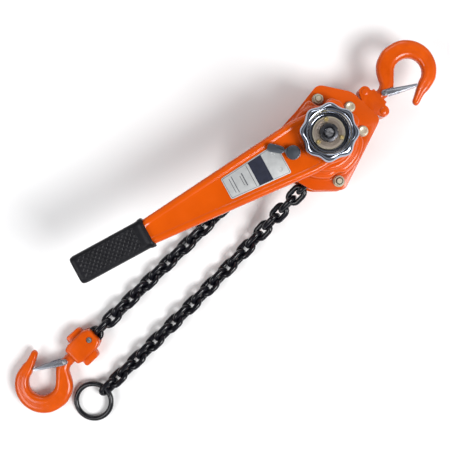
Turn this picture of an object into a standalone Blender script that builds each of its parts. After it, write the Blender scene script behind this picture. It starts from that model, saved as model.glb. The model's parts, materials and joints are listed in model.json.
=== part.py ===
"""Lever chain hoist of 0.75 t: a hand lever, a screw brake, a double reduction and a chain sheave.

The hoist lies on its gear cover. +Z is the drive axis, from the gear cover to the hand wheel, and +Y
points to the top hook. The origin is where the drive axis meets the floor. Numbers are millimetres,
which MM turns into Blender's metres where a mesh, an empty or a curve is made.
"""

import math

import bmesh
import bpy
from mathutils import Vector

MM = 0.001

for old in list(bpy.data.objects):
    bpy.data.objects.remove(old)

GAP = 0.3                     # clearance between pieces that meet
SHARP_DEGREES = 35.0

# Heights along the drive axis
GEAR_PLATE_Z = (30.0, 34.0)
BRAKE_PLATE_Z = (66.0, 70.0)
CHAIN_Z = 50.0
COVER_SHEET = 2.0
GEAR_COVER_Z = (0.0, 29.7)
BRAKE_COVER_Z = (70.3, 98.0)
LEVER_Z = (101.0, 127.0)
LEVER_SPLIT_Z = 112.0
LEVER_MID_Z = sum(LEVER_Z) / 2
WHEEL_Z = (129.3, 148.0)

# Frame
BODY_CORNERS = [               # x, y, corner radius, anticlockwise
    (57.0, -20.0, 8.0), (28.5, 62.0, 8.0), (-14.0, 60.0, 20.0), (-46.0, 38.5, 10.0),
    (-41.0, 0.0, 20.0), (-39.0, -34.0, 10.0), (-28.0, -51.0, 9.0), (5.0, -53.5, 15.0), (33.0, -45.5, 14.0)]
BODY_SAMPLES = 40
NUTTED_STAYS = [(-33.8, 27.0), (45.5, -18.3)]
RIVETED_STAYS = [(-3.7, 46.1), (24.8, 38.2), (0.0, -44.0)]
STAY_RADIUS = 3.0
STAY_SHOULDER = 4.5
STAY_HOLE = 3.4
DOME_RADIUS = 43.5
DOME_MARGIN = 3.0
SCALLOP_RADIUS = 8.5
TOP_PIN = (10.5, 50.0)
TOP_PIN_RADIUS = 5.0

# Chain of 15 mm pitch on a five-pocket sheave
CHAIN_WIRE = 5.6
CHAIN_PITCH = 15.0
CHAIN_WIDTH = 18.4
SHEAVE_PCR = 24.4
SHEAVE_FLANGE = 27.0
POCKET_APOTHEM = 20.3
POCKETS = 5
JOURNAL = 9.5
SHEAVE_BORE = 5.7
BUSH_OUTER = 12.5

# Gears: drive pinion and idler wheels, then idler pinions and load gear
MODULE = 1.25
DRIVE_TEETH, IDLER_TEETH = 9, 23
IDLER_PINION_TEETH, LOAD_TEETH = 10, 22
IDLER_DISTANCE = MODULE * (DRIVE_TEETH + IDLER_TEETH) / 2
IDLER_ANGLE = math.radians(17.5)
IDLER_JOURNAL = 3.5
SHAFT_RADIUS = 5.0
DRIVE_JOURNAL = 4.0

# Brake
RATCHET_TEETH = 16
RATCHET_TIP, RATCHET_ROOT = 26.0, 22.8
RATCHET_Z = (81.6, 87.6)
BRAKE_DISC_RADIUS = 23.5
PAWL_PIVOT_RADIUS = 31.2
PAWL_ANGLES = [0.0, math.pi]
PAWL_PIN_RADIUS = 2.2

# Lever, measured along its own axis from the drive axis
LEVER_ANGLE = math.radians(254.4)
LEVER_HUB_RADIUS = 30.5
LEVER_LENGTH = 294.0
GRIP_START = 209.0
GRIP_HALF_WIDTH = 15.5
LEVER_SHEET = 2.0
SELECTOR_AT = 40.3
SELECTOR_ANGLE = math.radians(-40.8)
NAME_PLATE = (55.0, 118.0, 16.5, 11.8)      # near end, far end, half-widths there

# Hooks: local u points to the tip's side and v to the crown, from the shank axis
TOP_HOOK_AT = (10.5, 123.7)
BOTTOM_HOOK_AT = (-20.5, -417.0)
BLOCK_Z = 13.0
HOOK_HALF_THICKNESS = 7.5
SHANK_RADIUS = 6.5
SHANK_COLLAR = 9.0
LATCH_PIVOT = (1.5, -36.0)
LATCH_END = (19.6, -3.9)
LATCH_CHEEK_Z = (7.8, 8.8)
CHAIN_PIN = (-20.5, -342.5)
CHAIN_PIN_RADIUS = 3.2
RING_CENTRE = (33.9, -392.0)
RING_RADIUS = 20.6
RING_WIRE = 6.0

# Chain runs from the sheave's mouth over the frame's edge to the floor
LOAD_ROUTE = [
    (-24.4, -20.8, 50.0), (-24.4, -34.0, 49.8), (-24.3, -48.0, 48.0), (-24.0, -62.0, 43.6),
    (-23.6, -76.0, 37.0), (-23.2, -90.0, 29.4), (-22.7, -104.0, 22.2), (-22.2, -118.0, 16.3),
    (-21.8, -132.0, 12.6), (-21.4, -146.0, 10.2), (-21.1, -162.0, 9.5), (-20.9, -182.0, 9.4),
    (-20.9, -205.0, 9.4), (-21.0, -230.0, 9.4), (-21.1, -255.0, 9.4), (-21.1, -278.0, 9.5),
    (-20.8, -295.0, 10.0), (-20.6, -310.0, 11.8), (-20.5, -325.4, 12.9)]
SLACK_ROUTE = [
    (24.4, -20.8, 50.0), (24.4, -34.0, 49.8), (24.6, -48.0, 48.0), (25.1, -62.0, 43.6),
    (25.9, -76.0, 37.0), (26.8, -90.0, 29.4), (27.8, -104.0, 22.2), (28.8, -118.0, 16.3),
    (29.7, -132.0, 12.6), (30.5, -146.0, 10.2), (31.2, -162.0, 9.5), (31.8, -182.0, 9.4),
    (32.4, -205.0, 9.4), (32.9, -230.0, 9.4), (33.3, -255.0, 9.4), (33.6, -280.0, 9.4),
    (33.8, -305.0, 9.4), (33.9, -330.0, 9.4), (33.9, -354.2, 9.4)]
CHAIN_SPACING = 16.0          # between the points of a chain tube

FINISHES = {                  # base colour, roughness, metallic
    "orange_paint": ((0.86, 0.16, 0.02), 0.35, 0.0),
    "chrome": ((0.82, 0.83, 0.85), 0.12, 1.0),
    "zinc": ((0.72, 0.66, 0.50), 0.35, 1.0),
    "steel": ((0.45, 0.45, 0.46), 0.4, 1.0),
    "gear_steel": ((0.30, 0.30, 0.31), 0.45, 1.0),
    "black_chain": ((0.03, 0.03, 0.03), 0.38, 0.7),
    "black_rubber": ((0.02, 0.02, 0.022), 0.6, 0.0),
    "bronze": ((0.45, 0.30, 0.14), 0.4, 1.0),
    "brake_lining": ((0.18, 0.11, 0.07), 0.85, 0.0),
    "plate_aluminium": ((0.75, 0.75, 0.73), 0.35, 0.6),
}


# Materials, pivots and meshes

def material(finish):
    """The Principled material of one finish, made once."""
    found = bpy.data.materials.get(finish)
    if found:
        return found
    colour, roughness, metallic = FINISHES[finish]
    made = bpy.data.materials.new(finish)
    made.use_nodes = True
    shader = made.node_tree.nodes["Principled BSDF"]
    shader.inputs["Base Color"].default_value = (*colour, 1.0)
    shader.inputs["Roughness"].default_value = roughness
    shader.inputs["Metallic"].default_value = metallic
    return made


def pivot(name, at, turn=0.0, parent=None):
    """An empty on a joint's axis, at a place in its parent's frame."""
    empty = bpy.data.objects.new(name, None)
    bpy.context.scene.collection.objects.link(empty)
    empty.location = Vector(at) * MM
    empty.rotation_euler = (0.0, 0.0, turn)
    empty.parent = parent
    return empty


def place(name, data, finish, parent, at=(0.0, 0.0, 0.0)):
    """An object with this data and finish, under its pivot."""
    made = bpy.data.objects.new(name, data)
    bpy.context.scene.collection.objects.link(made)
    made.location = Vector(at) * MM
    made.parent = parent
    if finish:
        data.materials.clear()
        data.materials.append(material(finish))
    return made


def skin(rings, closed=False):
    """A mesh over rings of equal length: capped at both ends, or closed on itself like a tyre."""
    shape = bmesh.new()
    loops = [[shape.verts.new(Vector(point) * MM) for point in ring] for ring in rings]
    pairs = list(zip(loops, loops[1:]))
    if closed:
        pairs.append((loops[-1], loops[0]))
    else:
        shape.faces.new(loops[0])
        shape.faces.new(loops[-1])
    for one, two in pairs:
        for i in range(len(one)):
            j = (i + 1) % len(one)
            shape.faces.new((one[i], one[j], two[j], two[i]))
    return finished(shape)


def finished(shape):
    """The mesh of a bmesh, with outward normals and its sharp edges kept sharp."""
    bmesh.ops.recalc_face_normals(shape, faces=shape.faces)
    mesh = bpy.data.meshes.new("skin")
    shape.to_mesh(mesh)
    shape.free()
    mesh.shade_smooth()
    mesh.set_sharp_from_angle(angle=math.radians(SHARP_DEGREES))
    return mesh


def cup(outer, inner):
    """A mesh over outer rings to a capped floor, and inner rings back out from a capped floor."""
    shape = bmesh.new()
    loops = [[shape.verts.new(Vector(point) * MM) for point in ring] for ring in outer + inner]
    shape.faces.new(loops[len(outer) - 1])
    shape.faces.new(loops[len(outer)])
    for i, one in enumerate(loops):
        if i == len(outer) - 1:
            continue
        two = loops[(i + 1) % len(loops)]
        for k in range(len(one)):
            j = (k + 1) % len(one)
            shape.faces.new((one[k], one[j], two[j], two[k]))
    return finished(shape)


def solid(name, rings, finish, parent, closed=False):
    return place(name, skin(rings, closed), finish, parent)


def cutter(name, rings, parent):
    """A guide shape for Boolean cuts."""
    made = place(name, skin(rings), None, parent)
    made.hide_render = True
    made.display_type = "WIRE"
    return made


def cut(target, *cutters):
    for tool in cutters:
        boolean = target.modifiers.new(tool.name, "BOOLEAN")
        boolean.operation = "DIFFERENCE"
        boolean.solver = "EXACT"
        boolean.object = tool


# Outlines: lists of (x, y), anticlockwise

def polar(radius, angle):
    return (radius * math.cos(angle), radius * math.sin(angle))


def circle(radius, count=20, centre=(0.0, 0.0)):
    points = (polar(radius, math.tau * i / count) for i in range(count))
    return [(centre[0] + x, centre[1] + y) for x, y in points]


def at_height(outline, z):
    return [(x, y, z) for x, y in outline]


def prism(outline, z_range):
    return [at_height(outline, z) for z in z_range]


def stack(profile, count=20, centre=(0.0, 0.0)):
    """Rings of a turned piece about Z from (radius, z) pairs."""
    return [at_height(circle(radius, count, centre), z) for radius, z in profile]


def rounded(corners, steps=4):
    """A polygon of (x, y, radius) corners, each an arc of so many steps."""
    points = []
    for i, (x, y, radius) in enumerate(corners):
        here = Vector((x, y))
        before = (Vector(corners[i - 1][:2]) - here).normalized()
        after = (Vector(corners[(i + 1) % len(corners)][:2]) - here).normalized()
        half = before.angle(after) / 2
        centre = here + (before + after).normalized() * (radius / math.sin(half))
        start = here + before * (radius / math.tan(half)) - centre
        end = here + after * (radius / math.tan(half)) - centre
        first = math.atan2(start.y, start.x)
        sweep = math.remainder(math.atan2(end.y, end.x) - first, math.tau)
        for k in range(steps + 1):
            dx, dy = polar(radius, first + sweep * k / steps)
            points.append((centre.x + dx, centre.y + dy))
    return points


def spun(outline, angle):
    """The outline turned about the drive axis."""
    c, s = polar(1.0, angle)
    return [(x * c - y * s, x * s + y * c) for x, y in outline]


def reach(outline, angle):
    """How far a ray from the drive axis runs before it leaves the outline."""
    dx, dy = polar(1.0, angle)
    for (x1, y1), (x2, y2) in zip(outline, outline[1:] + outline[:1]):
        ex, ey = x2 - x1, y2 - y1
        cross = dx * ey - dy * ex
        if abs(cross) < 1e-9:
            continue
        along_ray = (x1 * ey - y1 * ex) / cross
        along_edge = (x1 * dy - y1 * dx) / cross
        if along_ray > 0 and 0 <= along_edge <= 1:
            return along_ray
    raise ValueError("the ray misses the outline")


def bore_matching(outline, radius):
    """A round bore with one point facing each point of an outline."""
    return [polar(radius, math.atan2(y, x)) for x, y in outline]


def gear(teeth, phase=0.0):
    """A spur gear's outline; one tooth points along the phase angle."""
    pitch = math.tau / teeth
    radius = teeth * MODULE / 2
    tooth = [(-1.05, -0.25), (0.7, -0.09), (0.7, 0.09), (-1.05, 0.25)]
    return [polar(radius + out * MODULE, phase + (k + side) * pitch)
            for k in range(teeth) for out, side in tooth]


def plate(name, outline, holes, z_range, finish, parent):
    """A flat plate with round holes, as a filled curve. Holes are (x, y, radius)."""
    curve = bpy.data.curves.new(name, "CURVE")
    curve.dimensions = "2D"
    curve.fill_mode = "BOTH"
    curve.extrude = (z_range[1] - z_range[0]) / 2 * MM
    for loop in [outline] + [circle(radius, 24 if radius > 6 else 12, (x, y)) for x, y, radius in holes]:
        spline = curve.splines.new("POLY")
        spline.points.add(len(loop) - 1)
        for point, (x, y) in zip(spline.points, loop):
            point.co = (x * MM, y * MM, 0.0, 1.0)
        spline.use_cyclic_u = True
    return place(name, curve, finish, parent, (0.0, 0.0, sum(z_range) / 2))


def bushing(name, inner, outer, z_range, finish, parent, centre=(0.0, 0.0), count=24):
    low, high = z_range
    rings = stack([(outer, low), (outer, high), (inner, high), (inner, low)], count, centre)
    return solid(name, rings, finish, parent, closed=True)


# Frame

BODY_ANGLES = [math.tau * i / BODY_SAMPLES for i in range(BODY_SAMPLES)]
BODY_OUTLINE = rounded(BODY_CORNERS)
ALL_STAYS = NUTTED_STAYS + RIVETED_STAYS


def dome_radius(angle):
    """The covers' dome: round, inside the frame's edge, and scalloped around each stay."""
    radius = min(DOME_RADIUS, reach(BODY_OUTLINE, angle) - DOME_MARGIN)
    for x, y in ALL_STAYS:
        distance = math.hypot(x, y)
        off = angle - math.atan2(y, x)
        side = distance * math.sin(off)
        if abs(side) < SCALLOP_RADIUS and math.cos(off) > 0:
            near = distance * math.cos(off) - math.sqrt(SCALLOP_RADIUS ** 2 - side ** 2)
            radius = min(radius, near)
    return radius


def dome_ring(inset, z):
    return [(*polar(dome_radius(angle) - inset, angle), z) for angle in BODY_ANGLES]


def rim_ring(z):
    return [(*polar(reach(BODY_OUTLINE, angle), angle), z) for angle in BODY_ANGLES]


def pressed_cover(name, flange_z, top_z, hole_radius, parent):
    """A pressed cover: flange, scalloped dome and a roof, with a centre hole if a radius is given."""
    up = 1.0 if top_z > flange_z else -1.0
    sheet = COVER_SHEET
    rings = [
        rim_ring(flange_z), rim_ring(flange_z + up * sheet), dome_ring(0.0, flange_z + up * sheet),
        dome_ring(0.0, top_z - up * 5.0), dome_ring(4.0, top_z)]
    inside = [
        dome_ring(5.0, top_z - up * sheet), dome_ring(sheet, top_z - up * 6.5), dome_ring(sheet, flange_z)]
    if hole_radius:
        outer_hole = at_height(circle(hole_radius, BODY_SAMPLES), top_z)
        inner_hole = at_height(circle(hole_radius, BODY_SAMPLES), top_z - up * sheet)
        return solid(name, rings + [outer_hole, inner_hole] + inside, "orange_paint", parent, closed=True)
    bottom = at_height(circle(6.0, BODY_SAMPLES), top_z)
    floor = at_height(circle(6.0, BODY_SAMPLES), top_z - up * sheet)
    return place(name, cup(rings + [bottom], [floor] + inside), "orange_paint", parent)


def frame_group():
    """Side plates, covers, stays, pins, bushes and the chain guide, all fixed to each other."""
    root = pivot("frame_axis", (0.0, 0.0, 0.0))
    stay_holes = [(x, y, STAY_HOLE) for x, y in ALL_STAYS]
    common = [(0.0, 0.0, BUSH_OUTER + GAP), (*TOP_PIN, TOP_PIN_RADIUS + GAP)] + stay_holes
    idler_holes = [(*polar(IDLER_DISTANCE, IDLER_ANGLE + turn), IDLER_JOURNAL + GAP)
                   for turn in (0.0, math.pi)]
    pawl_holes = [(*polar(PAWL_PIVOT_RADIUS, angle), PAWL_PIN_RADIUS + GAP) for angle in PAWL_ANGLES]
    plate("gear_side_plate", BODY_OUTLINE, common + idler_holes, GEAR_PLATE_Z, "orange_paint", root)
    plate("brake_side_plate", BODY_OUTLINE, common + pawl_holes, BRAKE_PLATE_Z, "orange_paint", root)

    low, high = GEAR_COVER_Z
    gear_cover = pressed_cover("gear_cover", high, low, None, root)
    brake_cover = pressed_cover("brake_cover", *BRAKE_COVER_Z, 25.0, root)
    for cover, z_range in ((gear_cover, (high - 4.0, high + 2.0)), (brake_cover, (69.0, 75.0))):
        for i, (x, y) in enumerate(ALL_STAYS):
            drill = stack([(STAY_HOLE, z_range[0]), (STAY_HOLE, z_range[1])], 12, (x, y))
            cut(cover, cutter(f"{cover.name}_drill_{i + 1}", drill, root))

    for i, centre in enumerate(NUTTED_STAYS):
        rings = stack([(5.8, 21.6), (5.8, 27.4)], 12, centre)
        rings += stack([(STAY_RADIUS, 27.4), (STAY_RADIUS, 34.3), (STAY_SHOULDER, 34.3),
                        (STAY_SHOULDER, 65.7), (STAY_RADIUS, 65.7), (STAY_RADIUS, 81.0)], 12, centre)
        solid(f"stay_bolt_{i + 1}", rings, "zinc", root)
        bushing(f"stay_nut_{i + 1}", STAY_HOLE, 6.4, (72.6, 79.0), "zinc", root, centre, 12)
    for i, centre in enumerate(RIVETED_STAYS):
        head = [(4.5, 24.0), (6.5, 25.6), (6.5, 27.4)]
        shank = [(STAY_RADIUS, 27.4), (STAY_RADIUS, 34.3), (STAY_SHOULDER, 34.3),
                 (STAY_SHOULDER, 65.7), (STAY_RADIUS, 65.7), (STAY_RADIUS, 72.6)]
        formed = [(6.5, 72.6), (6.5, 74.4), (4.5, 76.0)]
        solid(f"stay_rivet_{i + 1}", stack(head + shank + formed, 12, centre), "zinc", root)
    pin = [(TOP_PIN_RADIUS, GEAR_PLATE_Z[0] + 0.1), (TOP_PIN_RADIUS, BRAKE_PLATE_Z[1] - 0.1)]
    solid("top_pin", stack(pin, 20, TOP_PIN), "steel", root)

    guide = prism(rounded([(-14, -30, 3), (-14, -47, 4), (14, -47, 4), (14, -30, 3)], 2), (35.0, 65.0))
    chain_guide = solid("chain_guide", guide, "gear_steel", root)
    stay_way = stack([(STAY_SHOULDER + GAP, 30.0), (STAY_SHOULDER + GAP, 70.0)], 16, RIVETED_STAYS[2])
    cut(chain_guide, cutter("chain_guide_drill", stay_way, root))
    tongue = [(-10.0, -29.7), (10.0, -29.7), (5.0, -16.2), (-5.0, -16.2)]
    solid("chain_stripper", prism(tongue, (CHAIN_Z - 2.2, CHAIN_Z + 2.2)), "gear_steel", root)

    bushing("sheave_bush_gear", JOURNAL + GAP, BUSH_OUTER, (30.0, 36.5), "bronze", root)
    bushing("sheave_bush_brake", JOURNAL + GAP, BUSH_OUTER, (63.5, 70.0), "bronze", root)
    ends = [polar(IDLER_DISTANCE, IDLER_ANGLE + turn) for turn in (0.0, math.pi)]
    seats = [(0.0, 0.0, DRIVE_JOURNAL + GAP)] + [(*end, IDLER_JOURNAL + GAP) for end in ends]
    bar = [(27.0, -9.0, 8.0), (27.0, 9.0, 8.0), (-27.0, 9.0, 8.0), (-27.0, -9.0, 8.0)]
    plate("bearing_plate", spun(rounded(bar), IDLER_ANGLE), seats, (2.3, 7.5), "bronze", root)
    for i, angle in enumerate(PAWL_ANGLES):
        profile = [(PAWL_PIN_RADIUS, 66.3), (PAWL_PIN_RADIUS, 70.3), (3.2, 70.3), (3.2, 81.5),
                   (PAWL_PIN_RADIUS, 81.5), (PAWL_PIN_RADIUS, 88.0), (3.2, 88.0), (3.2, 90.5)]
        solid(f"pawl_pin_{i + 1}", stack(profile, 12, polar(PAWL_PIVOT_RADIUS, angle)), "steel", root)
    return root


# Chain

def smooth_route(points, spacing):
    """Points at even spacing along a Catmull-Rom curve through the route."""
    route = [Vector(point) for point in points]
    ends = [2 * route[0] - route[1]] + route + [2 * route[-1] - route[-2]]
    fine = []
    for a, b, c, d in zip(ends, ends[1:], ends[2:], ends[3:]):
        for k in range(12):
            t = k / 12
            fine.append(0.5 * (2 * b + (c - a) * t + (2 * a - 5 * b + 4 * c - d) * t * t
                               + (3 * b - a - 3 * c + d) * t ** 3))
    fine.append(route[-1])
    total = sum((q - p).length for p, q in zip(fine, fine[1:]))
    count = round(total / spacing)
    result, run, want = [fine[0]], 0.0, total / count
    for p, q in zip(fine, fine[1:]):
        step = (q - p).length
        while run + step >= want and len(result) < count:
            result.append(p.lerp(q, (want - run) / step))
            want += total / count
        run += step
    return result + [fine[-1]]


def chain_tube(name, route, parent):
    """The plain outer shape of a hanging chain run."""
    curve = bpy.data.curves.new(name, "CURVE")
    curve.dimensions = "3D"
    curve.bevel_depth = CHAIN_WIDTH / 2 * MM
    curve.bevel_resolution = 2
    curve.use_fill_caps = True
    points = smooth_route(route, CHAIN_SPACING)
    spline = curve.splines.new("POLY")
    spline.points.add(len(points) - 1)
    for slot, point in zip(spline.points, points):
        slot.co = (*(point * MM), 1.0)
    return place(name, curve, "black_chain", parent)


def tyre(stations, axis_out, count=8, wire=2.5):
    """Rings of round wire along a closed path; axis_out is the normal of the path's plane."""
    rings = []
    total = len(stations)
    normal = Vector(axis_out)
    for i, here in enumerate(stations):
        along = (stations[(i + 1) % total] - stations[i - 1]).normalized()
        side = along.cross(normal)
        rings.append([here + wire * (math.cos(math.tau * k / count) * side
                                     + math.sin(math.tau * k / count) * normal) for k in range(count)])
    return rings


def link_path(centre, along, across, steps=6):
    """The wire's centreline in one link: two half rounds and the straight sides between them."""
    bend = (CHAIN_WIDTH - CHAIN_WIRE) / 2
    straight = (CHAIN_PITCH + CHAIN_WIRE) / 2 - bend
    points = []
    for end in (1.0, -1.0):
        for k in range(steps + 1):
            angle = math.pi * (k / steps - 0.5)
            out = end * (straight + bend * math.cos(angle))
            points.append(centre + out * along + end * bend * math.sin(angle) * across)
    return points


def chain_group(root):
    """The chain on the sheave, both runs, and the last link of each."""
    half = CHAIN_WIDTH / 2
    outer, inner = SHEAVE_PCR + half, SHEAVE_FLANGE - 1.3
    arc = [math.pi * k / 14 for k in range(15)]
    band = [(outer, -20.5)] + [polar(outer, a) for a in arc] + [(-outer, -20.5), (-inner, -20.5)]
    band += [polar(inner, a) for a in reversed(arc)] + [(inner, -20.5)]
    solid("chain_on_sheave", prism(band, (CHAIN_Z - half, CHAIN_Z + half)), "black_chain", root)
    chain_tube("load_chain", LOAD_ROUTE, root)
    chain_tube("slack_chain", SLACK_ROUTE, root)

    x_axis, y_axis, z_axis = Vector((1, 0, 0)), Vector((0, 1, 0)), Vector((0, 0, 1))
    centre = Vector((CHAIN_PIN[0], CHAIN_PIN[1] + CHAIN_PITCH / 2 - CHAIN_PIN_RADIUS - GAP, BLOCK_Z))
    solid("load_end_link", tyre(link_path(centre, y_axis, x_axis), z_axis), "black_chain", root, closed=True)
    link_y = ring_hang().y - 5.8 + 10.0
    centre = Vector((RING_CENTRE[0], link_y, half + 0.2))
    solid("slack_end_link", tyre(link_path(centre, y_axis, z_axis), x_axis), "black_chain", root, closed=True)


def ring_hang():
    """Where the ring's wire passes through the last link."""
    return Vector((RING_CENTRE[0], RING_CENTRE[1] + RING_RADIUS, CHAIN_WIDTH / 2 + 0.2))


def ring_group(root):
    """The chain end ring, one edge in the link and the other on the floor."""
    hang = ring_hang()
    tilt = math.asin((hang.z - RING_WIRE / 2 - 0.1) / (2 * RING_RADIUS))
    axis = pivot("end_ring_axis", hang, parent=root)
    along = Vector((0.0, -math.cos(tilt), -math.sin(tilt)))
    across = Vector((1.0, 0.0, 0.0))
    centre = along * RING_RADIUS
    path = []
    for k in range(28):
        x, y = polar(RING_RADIUS, math.tau * k / 28)
        path.append(centre + x * across + y * along)
    solid("end_ring", tyre(path, along.cross(across), 8, RING_WIRE / 2), "black_chain", axis, closed=True)


# Gear train

def sheave_group(root):
    axis = pivot("sheave_axis", (0.0, 0.0, 0.0), parent=root)
    count = 30
    pocket = []
    for i in range(count):
        angle = math.tau * i / count
        off = angle % (math.tau / POCKETS) - math.pi / POCKETS
        pocket.append(polar(POCKET_APOTHEM / math.cos(off), angle))

    def ring(radius, z):
        return at_height(circle(radius, count), z)

    rings = [ring(8.5, 20.3), ring(8.5, 28.6), ring(JOURNAL, 28.6), ring(JOURNAL, 37.2),
             ring(SHEAVE_FLANGE, 37.2), ring(SHEAVE_FLANGE, 40.7), at_height(pocket, 40.7),
             at_height(pocket, 47.2), ring(14.5, 47.2), ring(14.5, 52.8), at_height(pocket, 52.8),
             at_height(pocket, 59.3), ring(SHEAVE_FLANGE, 59.3), ring(SHEAVE_FLANGE, 62.8),
             ring(JOURNAL, 62.8), ring(JOURNAL, 69.7), ring(SHEAVE_BORE, 69.7), ring(SHEAVE_BORE, 20.3)]
    solid("load_sheave", rings, "gear_steel", axis, closed=True)
    teeth = gear(LOAD_TEETH, IDLER_ANGLE)
    plate("load_gear", teeth, [(0.0, 0.0, 8.9)], (20.6, 28.0), "gear_steel", axis)


def idler_group(index, root):
    angle = IDLER_ANGLE + index * math.pi
    axis = pivot(f"idler_{index + 1}_axis", (*polar(IDLER_DISTANCE, angle), 0.0), parent=root)
    faces_hub = angle + math.pi
    wheel_gap = math.pi / IDLER_TEETH if index == 0 else 0.0
    pinion_gap = math.pi / IDLER_PINION_TEETH
    wheel = gear(IDLER_TEETH, faces_hub + wheel_gap)
    pinion = gear(IDLER_PINION_TEETH, faces_hub + pinion_gap)
    small = bore_matching(pinion, IDLER_JOURNAL)
    rings = [at_height(small, 2.6), at_height(small, 15.5), at_height(pinion, 15.5), at_height(pinion, 28.3),
             at_height(small, 28.3), at_height(small, 33.7)]
    solid(f"idler_pinion_{index + 1}", rings, "gear_steel", axis)
    plate(f"idler_wheel_{index + 1}", wheel, [(0.0, 0.0, 4.4)], (9.0, 15.2), "gear_steel", axis)


def drive_group(root):
    """The drive shaft with its pinion, the brake hub, the change gear and the hand wheel."""
    axis = pivot("drive_axis", (0.0, 0.0, 0.0), parent=root)
    pinion = gear(DRIVE_TEETH, IDLER_ANGLE)

    def ring(radius, z):
        return at_height(bore_matching(pinion, radius), z)

    rings = [ring(DRIVE_JOURNAL, 2.6), ring(DRIVE_JOURNAL, 8.7), at_height(pinion, 8.7),
             at_height(pinion, 15.8), ring(SHAFT_RADIUS, 15.8), ring(SHAFT_RADIUS, 142.5), ring(4.0, 143.5)]
    solid("drive_shaft", rings, "steel", axis)
    bore = SHAFT_RADIUS + GAP
    hub = [(BRAKE_DISC_RADIUS, 73.2), (BRAKE_DISC_RADIUS, 79.4), (8.0, 79.4), (8.0, 88.9),
           (bore, 88.9), (bore, 73.2)]
    solid("brake_hub", stack(hub, 28), "steel", axis, closed=True)

    boss, tip, root_radius = 21.5, 24.0, 21.6
    ratchet = []
    for k in range(12):
        for radius, side in ((root_radius, -0.3), (tip, -0.16), (tip, 0.16), (root_radius, 0.3)):
            ratchet.append(polar(radius, math.tau * (k + side) / 12))
    rings = [at_height(bore_matching(ratchet, boss), 89.9), at_height(bore_matching(ratchet, boss), 105.0),
             at_height(ratchet, 105.0), at_height(ratchet, 120.7), at_height(bore_matching(ratchet, bore), 120.7),
             at_height(bore_matching(ratchet, bore), 89.9)]
    solid("change_gear", rings, "gear_steel", axis, closed=True)

    count = 48
    low, high = WHEEL_Z

    def lobed(inset, z):
        points = []
        for i in range(count):
            angle = math.tau * i / count
            points.append((*polar(28.4 + 0.8 * math.cos(8 * angle) - inset, angle), z))
        return points

    def plain(radius, z):
        return at_height(circle(radius, count), z)

    rings = [plain(14.0, 121.0), plain(14.0, low), lobed(2.5, low), lobed(0.0, low + 2.5),
             lobed(0.0, high - 5.0), lobed(2.0, high - 1.4), plain(24.5, high), plain(21.0, high - 2.5),
             plain(19.6, high - 13.0), plain(bore, high - 13.0), plain(bore, 121.0)]
    solid("hand_wheel", rings, "chrome", axis, closed=True)
    notched = []
    for i in range(36):
        angle = math.tau * i / 36
        notch = 3.0 if i % 12 == 0 else 0.0
        notched.append(polar(17.2 - notch, angle))
    plate("retaining_plate", notched, [(0.0, 0.0, bore + 0.1)], (135.3, 137.5), "bronze", axis)
    bushing("shaft_nut", bore, 9.0, (137.8, 141.8), "steel", axis, count=18)


# Brake

def ratchet_outline():
    """Saw teeth: each rises steeply on its clockwise side and ramps down anticlockwise."""
    pitch = math.tau / RATCHET_TEETH
    points = []
    for k in range(RATCHET_TEETH):
        points.append(polar(RATCHET_TIP, k * pitch))
        points.append(polar(RATCHET_ROOT, (k + 0.97) * pitch))
    return points


def ratchet_group(root):
    axis = pivot("ratchet_axis", (0.0, 0.0, 0.0), parent=root)
    plate("ratchet_disc", ratchet_outline(), [(0.0, 0.0, 8.4)], RATCHET_Z, "steel", axis)
    for name, z_range in (("inner", (79.7, 81.3)), ("outer", (87.9, 89.5))):
        bushing(f"friction_disc_{name}", 9.3, BRAKE_DISC_RADIUS, z_range, "brake_lining", axis, count=28)


def pawl_group(index, root):
    """A pawl whose nose lies in a tooth gap, against the steep side."""
    angle = PAWL_ANGLES[index]
    pitch = math.tau / RATCHET_TEETH
    steep = angle + pitch
    at = Vector(polar(PAWL_PIVOT_RADIUS, angle))
    axis = pivot(f"pawl_{index + 1}_axis", (*at, 0.0), parent=root)
    nose = [(RATCHET_ROOT + 1.0, steep - math.radians(1.9)), (RATCHET_ROOT + 1.9, steep - math.radians(8.0)),
            (RATCHET_TIP + 2.0, steep - math.radians(10.5)), (RATCHET_TIP + 3.6, steep - math.radians(2.4))]
    nose = [Vector(polar(*point)) - at for point in nose]
    towards = (nose[0] + nose[2]) / 2
    facing = math.atan2(towards.y, towards.x)
    back = [polar(4.0, facing + math.radians(turn)) for turn in (-75, -115, -155, 165, 125, 85)]
    outline = order_around([tuple(corner) for corner in nose] + back)
    pawl = solid(f"pawl_{index + 1}", prism(outline, (RATCHET_Z[0] + 0.4, RATCHET_Z[1] - 0.4)), "steel", axis)
    hole = stack([(PAWL_PIN_RADIUS + GAP, 80.0), (PAWL_PIN_RADIUS + GAP, 90.0)], 12)
    cut(pawl, cutter(f"pawl_{index + 1}_drill", hole, axis))


def order_around(points):
    """The points sorted anticlockwise about their middle."""
    middle = Vector((sum(p[0] for p in points), sum(p[1] for p in points))) / len(points)
    return sorted(points, key=lambda p: math.atan2(p[1] - middle.y, p[0] - middle.x))


# Lever

def lever_half_width(s):
    return 13.6 + (213.0 - s) * 0.0865


def lever_outline(inset=0.0):
    """The lever seen along the drive axis: a round hub and a tapering arm that steps in at the grip."""
    radius = LEVER_HUB_RADIUS - inset
    side = [(s, lever_half_width(s) - inset) for s in (30.0, 45.0, 90.0, 125.0, 160.0, 204.5)]
    side += [(208.5 + inset, 12.0 - inset), (286.0 - inset, 12.0 - inset)]
    hub = [polar(radius, math.radians(72.0 + 216.0 * k / 12)) for k in range(13)]
    return hub + [(s, -w) for s, w in side] + [(s, w) for s, w in reversed(side)]


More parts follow.
